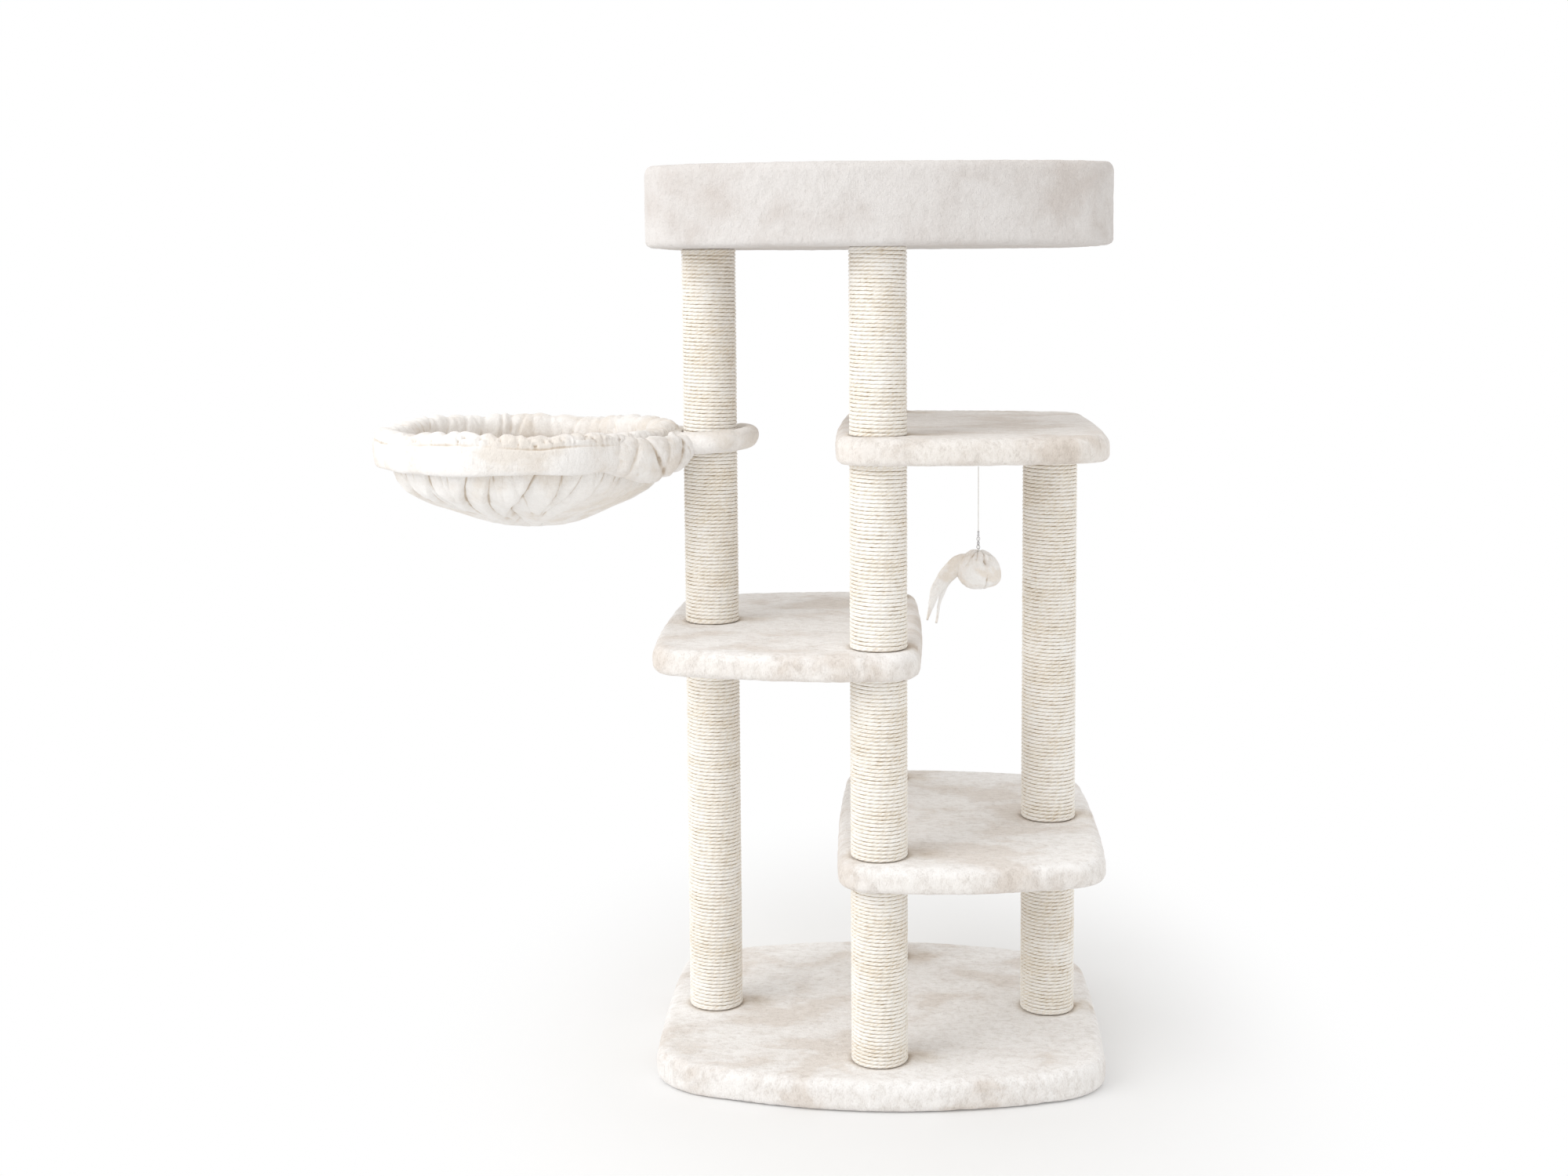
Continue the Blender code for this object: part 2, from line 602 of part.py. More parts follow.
def build_toy():
    shelf_z = underside(3)
    eye_z = shelf_z - EYE_DROP
    hung = empty("toy_mount", (TOY_X, TOY_Y, shelf_z))
    # the screw eye, in the XZ plane: its shank runs up into the shelf
    points = [(0, 0, EYE_SHANK), (0, 0, EYE_BEND), (0, 0, -EYE_DROP + EYE_RADIUS)]
    for step in range(1, EYE_STEPS - 1):
        angle = math.radians(90 - 360 * step / EYE_STEPS)
        points.append((EYE_RADIUS * math.cos(angle), 0, -EYE_DROP + EYE_RADIUS * math.sin(angle)))
    wire("toy_eye", "steel", points, EYE_WIRE, hung)

    eye_bottom = eye_z - EYE_RADIUS
    first = empty("toy_first_pivot", (TOY_X, TOY_Y, eye_bottom))
    drop = RING_RADIUS - RING_WIRE - EYE_WIRE - RING_PLAY
    points = []
    for step in range(RING_STEPS):
        angle = 2 * math.pi * step / RING_STEPS
        points.append((0, RING_RADIUS * math.cos(angle), -drop + RING_RADIUS * math.sin(angle)))
    wire("toy_ring", "steel", points, RING_WIRE, first, closed=True)

    ring_bottom = eye_bottom - drop - RING_RADIUS
    second = empty("toy_second_pivot", (TOY_X, TOY_Y, ring_bottom))
    start = -(RING_WIRE + STRING_PLAY)
    end = TOY_TOP + STRING_GAP - ring_bottom
    points = [(0, 0, start + (end - start) * step / STRING_STEPS) for step in range(STRING_STEPS + 1)]
    wire("toy_string", "string", points, STRING_RADIUS, second, sides=2)

    # a plump body with a tail that curves down to the left
    body_z = TOY_TOP - TOY_BODY_RADIUS - ring_bottom
    bm = bmesh.new()
    rows = []
    for i, (x, z, radius) in enumerate(TOY_SPINE):
        before = TOY_SPINE[max(i - 1, 0)]
        after = TOY_SPINE[min(i + 1, len(TOY_SPINE) - 1)]
        along = Vector((after[0] - before[0], 0, after[1] - before[1])).normalized()
        across = Vector((-along.z, 0, along.x))
        middle = Vector((x, 0, z + body_z))
        if radius == 0:
            rows.append([bm.verts.new(middle)])
            continue
        row = []
        for step in range(TOY_STEPS):
            angle = 2 * math.pi * step / TOY_STEPS
            offset = across * math.cos(angle) + Vector((0, 1, 0)) * math.sin(angle)
            row.append(bm.verts.new(middle + offset * radius))
        rows.append(row)
    for low, high in zip(rows, rows[1:]):
        for i in range(TOY_STEPS):
            j = (i + 1) % TOY_STEPS
            corners = [low[i % len(low)], low[j % len(low)], high[j % len(high)], high[i % len(high)]]
            bm.faces.new(list(dict.fromkeys(corners)))
    finish("toy_body", bm, "toy_plush", parent=second)


def main():
    clear_scene()
    build_base()
    build_shelf("lower_right_shelf", "right", 1, ("front", "back", "right"))
    build_shelf("left_shelf", "left", 2, ("front", "back", "left"))
    build_shelf("upper_right_shelf", "right", 3, ("front", "back"), ("right",), [(TOY_X, TOY_Y)])
    build_bed()
    build_posts()
    build_hammock()
    build_toy()


main()
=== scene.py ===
"""Cat tree: plush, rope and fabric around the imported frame. Metres, +Z up, the front is -Y."""
import math
import random

import bmesh
import bpy
import numpy as np
from mathutils import Matrix, Vector


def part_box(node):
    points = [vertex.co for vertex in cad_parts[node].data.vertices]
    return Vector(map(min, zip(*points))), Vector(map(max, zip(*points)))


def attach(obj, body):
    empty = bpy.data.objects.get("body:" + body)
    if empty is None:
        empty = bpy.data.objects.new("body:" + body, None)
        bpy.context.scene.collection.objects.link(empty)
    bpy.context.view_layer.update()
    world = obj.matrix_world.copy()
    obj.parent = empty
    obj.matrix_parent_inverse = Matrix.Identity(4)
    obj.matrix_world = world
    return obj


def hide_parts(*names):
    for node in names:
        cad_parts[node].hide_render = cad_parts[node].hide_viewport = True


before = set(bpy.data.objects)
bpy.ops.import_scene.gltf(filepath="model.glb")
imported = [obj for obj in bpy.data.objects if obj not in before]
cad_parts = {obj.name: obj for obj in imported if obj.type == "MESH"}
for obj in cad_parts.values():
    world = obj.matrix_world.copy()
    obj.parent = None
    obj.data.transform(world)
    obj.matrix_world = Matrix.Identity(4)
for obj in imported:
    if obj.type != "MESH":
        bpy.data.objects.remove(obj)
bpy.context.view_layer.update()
scene = bpy.context.scene

# ---- dimensions
POST_DEPTH = 0.235  # from the middle of the tree to the front and back posts
POST_SIDE = 0.282  # and to the left and right posts
POSTS = {"front": (0.0, -POST_DEPTH), "back": (0.0, POST_DEPTH),
         "left": (-POST_SIDE, 0.0), "right": (POST_SIDE, 0.0)}
HALF_WIDTH = 0.366  # of the base and the bed
SHELF_END = 0.363
SHELF_INNER_X = 0.07
SHELF_BOW_CENTRE = 0.06
FRONT_BOW = 0.6
SIDE_BOW = 0.008

# (lowest x, highest x, half depth, corner radius, where the bow is deepest) of each outline
BASE_PLAN = (-HALF_WIDTH, HALF_WIDTH, 0.33, 0.07, 0.0)
RIGHT_PLAN = (-SHELF_INNER_X, SHELF_END, 0.312, 0.05, SHELF_BOW_CENTRE)
LEFT_PLAN = (-SHELF_END, SHELF_INNER_X, 0.312, 0.05, -SHELF_BOW_CENTRE)
BED_PLAN = (-HALF_WIDTH, HALF_WIDTH, 0.325, 0.045, 0.0)

HOOP_RADIUS = 0.235  # of the hammock's steel hoop
HOOP_CENTRE = (-0.59, 0.0)
ROD_Z = 1.02

# ---- camera
CAMERA_PLACE = (0.0293, -3.2803, 1.3022)
CAMERA_YAW = 0.0574  # turned towards -X
CAMERA_PITCH = 0.0991  # tipped down
CAMERA_ROLL = -0.0074
CAMERA_LENS = 45.42
CAMERA_SHIFT = -0.078


def linked(name, data):
    item = bpy.data.objects.new(name, data)
    scene.collection.objects.link(item)
    return item


def make_camera():
    data = bpy.data.cameras.new("camera")
    data.sensor_width = 36.0
    data.lens = CAMERA_LENS
    data.shift_y = CAMERA_SHIFT
    data.clip_start = 0.05
    data.clip_end = 60.0
    camera = linked("camera", data)
    yaw, roll = (Matrix.Rotation(angle, 4, "Z") for angle in (CAMERA_YAW, CAMERA_ROLL))
    tilt = Matrix.Rotation(math.pi / 2 - CAMERA_PITCH, 4, "X")
    camera.matrix_world = Matrix.Translation(CAMERA_PLACE) @ yaw @ tilt @ roll
    scene.camera = camera


make_camera()


# ---- number helpers
def smooth_noise(points, size, seed):
    """Soft noise between -1 and 1 at each point, with lumps about size across."""
    cells = np.asarray(points, float) / size
    base = np.floor(cells).astype(np.int64)
    part = cells - base
    part = part * part * (3 - 2 * part)
    total = np.zeros(len(cells))
    for corner in range(8):
        bits = np.array([corner & 1, corner >> 1 & 1, corner >> 2 & 1])
        cell = base + bits
        mixed = cell[:, 0] * 73856093 ^ cell[:, 1] * 19349663 ^ cell[:, 2] * 83492791 ^ seed * 40503
        mixed = (mixed ^ mixed >> 13) * 1274126177
        value = ((mixed ^ mixed >> 16) & 65535) / 32767.5 - 1
        total += value * np.prod(np.where(bits, part, 1 - part), axis=1)
    return total


def lumps(points, layers, seed):
    """Layers of soft noise, each given as (size, height), added up."""
    return sum(height * smooth_noise(points, size, seed + number)
               for number, (size, height) in enumerate(layers))


def wobble(points, size, reach, seed):
    """Soft noise in all three directions."""
    return reach * np.stack([smooth_noise(points, size, seed + k) for k in range(3)], axis=1)


def circle(count):
    """Even angles once around."""
    return 2 * math.pi * np.arange(count) / count


def clamp(values):
    return np.clip(values, 0, 1)


def unit(vectors):
    return vectors / np.linalg.norm(vectors, axis=1)[:, None]


def along(values, steps):
    """The numbers or points at even steps from the first to the last."""
    values = np.array(values, float)
    keys = np.arange(len(values))
    place = np.linspace(0, len(values) - 1, steps)
    columns = values.reshape(len(values), -1).T
    found = np.stack([np.interp(place, keys, column) for column in columns], axis=1)
    return found.reshape(steps, *values.shape[1:])


def even_out(values, times):
    """Smooth the values in place, all but the first and the last."""
    for _ in range(times):
        values[1:-1] = (values[:-2] + 2 * values[1:-1] + values[2:]) / 4


# ---- mesh helpers
CORNER_STEPS = 10  # in each corner of an outline
SIDE_STEPS = 24  # along each of its sides
LEAST_CORNER = 0.006


def add_piece(name, mesh, material, body="tree", node=None):
    """A visible piece that rides on body, and replaces the CAD node if one is named."""
    item = linked(name, mesh)
    mesh.materials.clear()
    mesh.materials.append(material)
    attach(item, body)
    if node:
        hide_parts(node)
    return item


def read(mesh):
    """The mesh's points and their normals."""
    found = []
    for items, key in ((mesh.vertices, "co"), (mesh.vertex_normals, "vector")):
        flat = np.empty(len(items) * 3, np.float32)
        items.foreach_get(key, flat)
        found.append(flat.reshape(-1, 3).astype(float))
    return found


def set_points(mesh, points):
    """Move the mesh's points there, and shade it smooth."""
    mesh.vertices.foreach_set("co", np.asarray(points, np.float32).ravel())
    mesh.update()
    mesh.shade_smooth()


def store_painted_shade(mesh, depth):
    """Store the painted shade at each point, from 0 to 1, for the plush materials: shade in creases,
    round posts' feet and on board edges.
    """
    layer = mesh.attributes.new("hollow", "FLOAT", "POINT")
    layer.data.foreach_set("value", clamp(depth).astype(np.float32))


def apply_modifiers(item):
    graph = bpy.context.evaluated_depsgraph_get()
    made = bpy.data.meshes.new_from_object(item.evaluated_get(graph))
    item.modifiers.clear()
    item.data = made
    return made


def remeshed(mesh, voxel):
    """The mesh rebuilt on an even grid, as a new mesh, with its steps smoothed away."""
    item = linked("remesh", mesh)
    rebuild = item.modifiers.new("remesh", "REMESH")
    rebuild.mode = "VOXEL"
    rebuild.voxel_size = voxel
    relax = item.modifiers.new("relax", "SMOOTH")
    relax.factor = 0.5
    relax.iterations = 2
    made = apply_modifiers(item)
    bpy.data.objects.remove(item, do_unlink=True)
    return made


def grid_quads(rows, sides, close=False):
    """Quads over rings of points; close joins the last ring to the first."""
    start = np.arange(rows if close else rows - 1)[:, None] * sides
    above = (start + sides) % (rows * sides)
    side = np.arange(sides)[None, :]
    after = (side + 1) % sides
    quads = np.stack([start + side, start + after, above + after, above + side], axis=2)
    return quads.reshape(-1, 4)


def mesh_from(name, points, faces):
    mesh = bpy.data.meshes.new(name)
    mesh.from_pydata(points.tolist(), [], faces)
    mesh.update()
    mesh.shade_smooth()
    return mesh


def loft(bm, rings, close=False):
    """Skin rings of points, either closed on themselves or with a cap at each end."""
    rows = [[bm.verts.new(point) for point in ring] for ring in rings]
    pairs = list(zip(rows, rows[1:]))
    if close:
        pairs.append((rows[-1], rows[0]))
    count = len(rows[0])
    for low, high in pairs:
        for i in range(count):
            j = (i + 1) % count
            bm.faces.new((low[i], low[j], high[j], high[i]))
    if not close:
        bm.faces.new(list(reversed(rows[0])))
        bm.faces.new(rows[-1])


def bm_to_mesh(bm, name, smooth=True):
    bmesh.ops.recalc_face_normals(bm, faces=bm.faces)
    mesh = bpy.data.meshes.new(name)
    bm.to_mesh(mesh)
    bm.free()
    if smooth:
        mesh.shade_smooth()
    return mesh


def outline(low_x, high_x, half_depth, corner, bow_centre, inset):
    """Rounded rectangle with bowed front and back, as the CAD has it, seen from above."""
    low_x, high_x = low_x + inset, high_x - inset
    depth = half_depth - inset
    corner = max(corner - inset, LEAST_CORNER)
    middle = (low_x + high_x) / 2
    half = (high_x - low_x) / 2
    points = []
    # The corner (1, -1) is followed by the right side, (1, 1) by the back, and so on.
    for side_x, side_y, start in ((1, -1, -90), (1, 1, 0), (-1, 1, 90), (-1, -1, 180)):
        centre_x = middle + side_x * (half - corner)
        centre_y = side_y * (depth - corner)
        for step in range(CORNER_STEPS + 1):
            angle = math.radians(start + 90 * step / CORNER_STEPS)
            points.append((centre_x + corner * math.cos(angle), centre_y + corner * math.sin(angle)))
        for step in range(1, SIDE_STEPS):
            part = 1 - 2 * (step / SIDE_STEPS)
            if side_x != side_y:
                points.append((middle + side_x * half, side_y * (depth - corner) * part))
            else:
                points.append((middle + side_x * (half - corner) * part, side_y * depth))
    bent = []
    for x, y in points:
        pull = SIDE_BOW * (y / half_depth) ** 2 * (x - middle) / half
        squeeze = 1 - FRONT_BOW * (x - bow_centre) ** 2 / half_depth
        bent.append((x - pull, y * squeeze))
    return bent


# ---- materials
class Nodes:
    """Short ways to add nodes to the tree of a material or a world."""

    def __init__(self, owner):
        owner.use_nodes = True
        self.tree = owner.node_tree

    def put(self, socket, value):
        """Link value to the socket if it is another node's output, or else set it there."""
        if isinstance(value, bpy.types.NodeSocket):
            self.tree.links.new(value, socket)
        else:
            socket.default_value = value

    def fill(self, node, **inputs):
        """Set the node's inputs and settings by name, with _ for each space."""
        for key, value in inputs.items():
            name = key.replace("_", " ")
            if name in node.inputs:
                self.put(node.inputs[name], value)
            else:
                setattr(node, key, value)
        return node

    def surface(self, **inputs):
        """Fill the shader that every new material has."""
        return self.fill(self.tree.nodes["Principled BSDF"], **inputs)

    def add(self, kind, **inputs):
        return self.fill(self.tree.nodes.new("ShaderNode" + kind), **inputs)

    def add_listed(self, node, *values):
        """Fill the node's inputs in their own order."""
        for socket, value in zip(node.inputs, values):
            self.put(socket, value)
        return node.outputs[0]

    def math(self, operation, *values):
        return self.add_listed(self.add("Math", operation=operation), *values)

    def times(self, first, second):
        return self.math("MULTIPLY", first, second)

    def times_plus(self, first, second, third):
        return self.math("MULTIPLY_ADD", first, second, third)

    def vector(self, operation, *values):
        return self.add_listed(self.add("VectorMath", operation=operation), *values)

    def stretched(self, vector, scale):
        return self.vector("MULTIPLY", vector, scale)

    def place(self):
        return self.add("TexCoord").outputs["Object"]

    def noise(self, vector, scale, detail, roughness, distortion=0.0):
        return self.add("TexNoise", Vector=vector, Scale=scale, Detail=detail, Roughness=roughness,
                        Distortion=distortion).outputs["Fac"]

    def ramp(self, factor, stops):
        node = self.add("ValToRGB", Fac=factor)
        elements = node.color_ramp.elements
        while len(elements) < len(stops):
            elements.new(0.5)
        for element, (place, colour) in zip(elements, stops):
            element.position = place
            element.color = (*colour, 1.0)
        return node.outputs["Color"]

    def bump(self, height, strength, distance, **normal):
        return self.add("Bump", Height=height, Strength=strength, Distance=distance,
                        **normal).outputs["Normal"]

    def product(self, first, second):
        """The product of two colours."""
        return self.add("Mix", data_type="RGBA", blend_type="MULTIPLY", Factor=1.0,
                        A=first, B=second).outputs["Result"]

    def mix(self, factor, first, second):
        """A mix of two shaders."""
        return self.add_listed(self.add("MixShader"), factor, first, second)


def plush(name, light, middle, dark, patch=7.0, seed=0.0, speckled=0.2):
    """Plush: nap in three tones, streaks, tufts and pile, with painted shade where the stored shade
    value is over a half.
    """
    material = bpy.data.materials.new(name)
    n = Nodes(material)
    place = n.vector("ADD", n.place(), (seed, seed * 0.7, seed * 1.3))
    patches = n.noise(n.stretched(place, (1.0, 1.35, 1.2)), patch, 4.0, 0.5, 0.5)
    streaks = n.noise(n.stretched(place, (0.8, 1.5, 1.0)), 4.5 * patch, 3.0, 0.6, 0.8)
    patches = n.times_plus(n.math("SUBTRACT", streaks, 0.5), 0.26, patches)
    tufts = n.noise(n.stretched(place, (1.0, 1.4, 0.55)), 80.0, 4.0, 0.62, 0.6)
    pile = n.noise(n.stretched(place, (1.0, 1.0, 0.45)), 520.0, 2.0, 0.7)
    clumps = n.noise(place, 150.0, 3.0, 0.6, 0.4)
    speckle = n.ramp(n.times_plus(pile, 0.42, n.times(tufts, 0.58)), [
        (0.37, (1 - speckled, 1 - 1.1 * speckled, 1 - 1.2 * speckled)),
        (0.47, (1 - 0.35 * speckled, 1 - 0.4 * speckled, 1 - 0.45 * speckled)),
        (0.56, (1.0, 1.0, 1.0)),
    ])
    # painted shade: darker and warmer as the stored shade value rises above a half
    shade = n.ramp(n.add("Attribute", attribute_name="hollow").outputs["Fac"], [
        (0.52, (1.0, 1.0, 1.0)), (0.72, (0.88, 0.84, 0.79)), (0.98, (0.66, 0.58, 0.49)),
    ])
    colour = n.ramp(patches, [(0.39, dark), (0.49, middle), (0.58, light)])
    relief = n.bump(tufts, 0.4, 0.0042)
    relief = n.bump(clumps, 0.55, 0.003, Normal=relief)
    relief = n.bump(pile, 0.6, 0.0014, Normal=relief)
    n.surface(Base_Color=n.product(n.product(colour, speckle), shade), Normal=relief, Roughness=0.95,
              Specular_IOR_Level=0.15, Sheen_Weight=0.3, Sheen_Roughness=0.55,
              Sheen_Tint=(1.0, 0.97, 0.94, 1.0))
    return material


def sisal(name):
    """Twisted rope: U runs along it in metres, V once around it."""
    material = bpy.data.materials.new(name)
    n = Nodes(material)
    split = n.add("SeparateXYZ", Vector=n.add("UVMap", uv_map="rope").outputs["UV"])
    along_it, around = split.outputs["X"], split.outputs["Y"]
    twist = n.times_plus(around, 3.0, n.times(along_it, 95.0))
    strand = n.math("SINE", n.times(twist, 2 * math.pi))
    lengthwise = n.times_plus(around, 26.0, n.times(along_it, 800.0))
    fibre_place = n.add("CombineXYZ", X=n.times(along_it, 130.0), Y=lengthwise).outputs["Vector"]
    fibres = n.noise(fibre_place, 1.0, 4.0, 0.7)
    wear = n.noise(n.stretched(n.place(), (1.0, 1.0, 2.2)), 16.0, 3.0, 0.6, 0.4)
    shade_dashes = n.noise(n.place(), 95.0, 2.0, 0.6, 0.3)
    tone = n.times_plus(fibres, 0.76, n.times(wear, 0.24))
    colour = n.ramp(n.times_plus(strand, 0.035, tone), [
        (0.34, (0.64, 0.52, 0.37)), (0.42, (0.84, 0.765, 0.645)),
        (0.5, (0.935, 0.9, 0.84)), (0.62, (0.985, 0.978, 0.96)),
    ])
    # painted shade in the gaps between turns: darker where the section turns towards its neighbours,
    # uneven with the fibres, and in short dashes
    facing = n.math("COSINE", n.times(around, 2 * math.pi))
    facing = n.times_plus(n.math("SUBTRACT", fibres, 0.5), 1.6, facing)
    facing = n.times_plus(n.math("SUBTRACT", shade_dashes, 0.47), 1.7, facing)
    gap_shade = n.ramp(facing, [
        (0.0, (0.54, 0.43, 0.29)), (0.26, (0.83, 0.76, 0.66)), (0.55, (1.0, 1.0, 1.0)),
    ])
    relief = n.bump(fibres, 0.6, 0.0007, Normal=n.bump(strand, 0.5, 0.0006))
    n.surface(Base_Color=n.product(colour, gap_shade), Normal=relief, Roughness=0.82,
              Specular_IOR_Level=0.25, Sheen_Weight=0.1)
    return material


def plain(name, light, dark, scale, roughness, metallic=0.0, bump=0.15):
    """A mottled two-tone finish, for board, card, metal, paint and string."""
    material = bpy.data.materials.new(name)
    n = Nodes(material)
    grain = n.noise(n.place(), scale, 5.0, 0.65, 0.3)
    n.surface(Base_Color=n.ramp(grain, [(0.36, dark), (0.64, light)]),
              Normal=n.bump(grain, bump, 0.0004), Roughness=roughness, Metallic=metallic)
    return material


PLUSH = plush("plush_cream", (0.918, 0.904, 0.894), (0.872, 0.849, 0.832), (0.785, 0.736, 0.694))
# the bed's walls: the cream plush made darker as painted shade on their front-facing sides
BED_PLUSH_SHADED = plush("plush_bed_shaded", (0.695, 0.668, 0.65), (0.655, 0.622, 0.6), (0.6, 0.555, 0.525),
                  patch=5.0, seed=3.1, speckled=0.08)
HAMMOCK_PLUSH = plush("plush_hammock", (0.875, 0.855, 0.835), (0.84, 0.81, 0.78),
                      (0.785, 0.735, 0.68), patch=9.0, seed=7.7, speckled=0.06)
# the bowl: the hammock's plush made lighter as painted light, for the shade it hangs in
SLING_PLUSH_LIT = plush("plush_sling_lit", (0.9, 0.88, 0.855), (0.87, 0.84, 0.805), (0.82, 0.77, 0.71),
                    patch=9.0, seed=4.4, speckled=0.06)
TOY_PLUSH = plush("plush_toy", (0.94, 0.925, 0.905), (0.91, 0.88, 0.85), (0.85, 0.79, 0.72),
                  patch=22.0, seed=1.9, speckled=0.06)
SISAL = sisal("sisal_rope")
CARD = plain("cardboard", (0.62, 0.48, 0.33), (0.5, 0.37, 0.24), 60.0, 0.9)
BOARD = plain("particle_board", (0.7, 0.56, 0.4), (0.5, 0.36, 0.22), 320.0, 0.85, bump=0.3)
STEEL = plain("zinc_steel", (0.66, 0.66, 0.68), (0.5, 0.5, 0.52), 240.0, 0.34,
              metallic=1.0, bump=0.05)
PAINTED = plain("painted_steel", (0.045, 0.045, 0.048), (0.03, 0.03, 0.032), 500.0, 0.42, bump=0.08)
STRING = plain("white_string", (0.88, 0.87, 0.84), (0.74, 0.72, 0.68), 1500.0, 0.8, bump=0.4)


# ---- cord
STRING_TOP = (0.16, -0.1, 0.9835)
STRING_END_Z = 0.8474
STRING_DIAMETER = 0.0014
STRING_POINTS = 16


def make_string():
    """The toy's string, straight under the toy's weight."""
    curve = bpy.data.curves.new("toy_string_line", "CURVE")
    curve.dimensions = "3D"
    curve.bevel_depth = STRING_DIAMETER / 2
    curve.bevel_resolution = 3
    curve.use_fill_caps = True
    spline = curve.splines.new("POLY")
    spline.points.add(STRING_POINTS - 1)
    x, y, top = STRING_TOP
    for index, point in enumerate(spline.points):
        part = index / (STRING_POINTS - 1)
        point.co = (x, y, top + (STRING_END_Z - top) * part, 1.0)
    return add_piece("toy_string_line", curve, STRING, "toy", "toy_string")


string_line = make_string()


# ---- rope
ROPE_PITCH = 0.0062
ROPE_STEPS = 60  # mesh steps in each turn
ROPE_SIDES = 8
ROPE_OUTSIDE = 0.0454  # from the post's axis
ROPE_HALF_DEPTH = 0.0031
ROPE_OVERLAP = 1.02  # height of a turn for each unit of pitch, so that turns touch
ROPE_SPARE = 0.0003  # room left for the turns that stand out
ROPE_LINE = 0.045  # radius at which the noise is taken
ROPE_LENGTH_RADIUS = 0.042  # radius at which the length is measured, for U
ROPE_SWAY = ((0.022, 0.00032),)  # (size, height) of the noise: up and down,
ROPE_PRESS = ((0.013, 0.00022),)  # out and in,
ROPE_SWELL = ((0.009, 0.045),)  # and in thickness


def rope_uv(turn):
    """The UV of every loop: each quad of each step, then the caps, which have none."""
    length = turn * 2 * math.pi * ROPE_LENGTH_RADIUS
    u, u_next = np.repeat(length[:-1], ROPE_SIDES), np.repeat(length[1:], ROPE_SIDES)
    v = np.tile(np.arange(ROPE_SIDES) / ROPE_SIDES, len(turn) - 1)
    v_next = v + 1 / ROPE_SIDES
    quads = np.stack([u, v, u, v_next, u_next, v_next, u_next, v], axis=1).reshape(-1)
    return np.concatenate([quads, np.zeros(4 * ROPE_SIDES)]).astype(np.float32)


def rope_sleeve(node, seed):
    """The rope wound on one post segment, with a flat turn tucked in at each end."""
    low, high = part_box(node)
    height = high.z - low.z
    rising = round(height / ROPE_PITCH) - 1
    half_height = height / (rising + 1) / 2 * ROPE_OVERLAP
    pitch = (height - 2 * half_height) / rising
    turns = rising + 2
    count = turns * ROPE_STEPS + 1
    turn = np.arange(count) / ROPE_STEPS
    start = random.Random(seed).uniform(0, 2 * math.pi)
    angle = start - 2 * math.pi * turn
    z = low.z + half_height + np.clip(turn - 1, 0, rising) * pitch
    line = np.stack([np.cos(angle) * ROPE_LINE, np.sin(angle) * ROPE_LINE, z], axis=1)
    middle = ROPE_OUTSIDE - ROPE_HALF_DEPTH - ROPE_SPARE + lumps(line, ROPE_PRESS, seed + 1)
    thick = 1 + lumps(line, ROPE_SWELL, seed + 2)
    inner = clamp(turn - 1) * clamp(turns - 1 - turn)
    z = z + lumps(line, ROPE_SWAY, seed) * inner
    section = circle(ROPE_SIDES)
    radius = middle[:, None] + ROPE_HALF_DEPTH * thick[:, None] * np.cos(section)[None, :]
    up = z[:, None] + half_height * thick[:, None] * np.sin(section)[None, :]
    points = np.stack([
        (low.x + high.x) / 2 + radius * np.cos(angle)[:, None],
        (low.y + high.y) / 2 + radius * np.sin(angle)[:, None],
        np.clip(up, low.z, high.z),
    ], axis=2).reshape(-1, 3)
    faces = grid_quads(count, ROPE_SIDES).tolist()
    faces.append(list(range(ROPE_SIDES))[::-1])
    faces.append(list(range(len(points) - ROPE_SIDES, len(points))))
    mesh = mesh_from(node + "_rope", points, faces)
    mesh.uv_layers.new(name="rope").data.foreach_set("uv", rope_uv(turn))
    add_piece(node + "_rope", mesh, SISAL, node=node)


for number, node in enumerate(sorted(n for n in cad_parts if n.endswith("_sisal"))):
    rope_sleeve(node, 100 + 10 * number)


# ---- plush boards
PLUSH_VOXEL = 0.0036  # mesh size of the plush covers
BOTTOM_ROUND = 0.011  # radius of a board's lower edge
TOP_ROUND = 0.017
ARC_STEPS = 6
PLUSH_RELIEF = ((0.07, 0.00055), (0.024, 0.00045), (0.0095, 0.0004), (0.0048, 0.0003))

FOOT_RADIUS = 0.0475  # the plush is pressed down under a post up to here
FOOT_PRESS = 0.0006  # and by this much
SWELL_RADIUS, SWELL_WIDTH, SWELL_HEIGHT = 0.056, 0.01, 0.0012  # of the plush round a post
RING_RADIUS, RING_FADE = 0.047, 0.0045  # of the ring of painted shade round a post's foot
BESIDE_PLACE = (0.062, 0.01)  # from a post to the painted shadow at its right
BESIDE_SIZE = (0.034, 0.024)
LEVEL_REACH = 0.006

ACCESS_RADIUS = 0.0145  # holes under the base, around the bolt heads
ACCESS_DEPTH = 0.0072
ACCESS_SHARP = math.radians(50)


def plush_relief(points, normals, seed, strength=1.0):
    """The points moved along their normals by soft lumps and tufts."""
    return points + normals * (lumps(points, PLUSH_RELIEF, seed) * strength)[:, None]


def arc_profile(thickness):
    """(inset, z) up the edge of a padded board, from its underside to its top."""
    angles = [math.pi / 2 * step / ARC_STEPS for step in range(ARC_STEPS + 1)]
    curves = [(1 - math.sin(angle), 1 - math.cos(angle)) for angle in angles]
    lower = [(BOTTOM_ROUND * i, BOTTOM_ROUND * j) for i, j in curves]
    return lower + [(TOP_ROUND * j, thickness - TOP_ROUND * i) for i, j in curves]


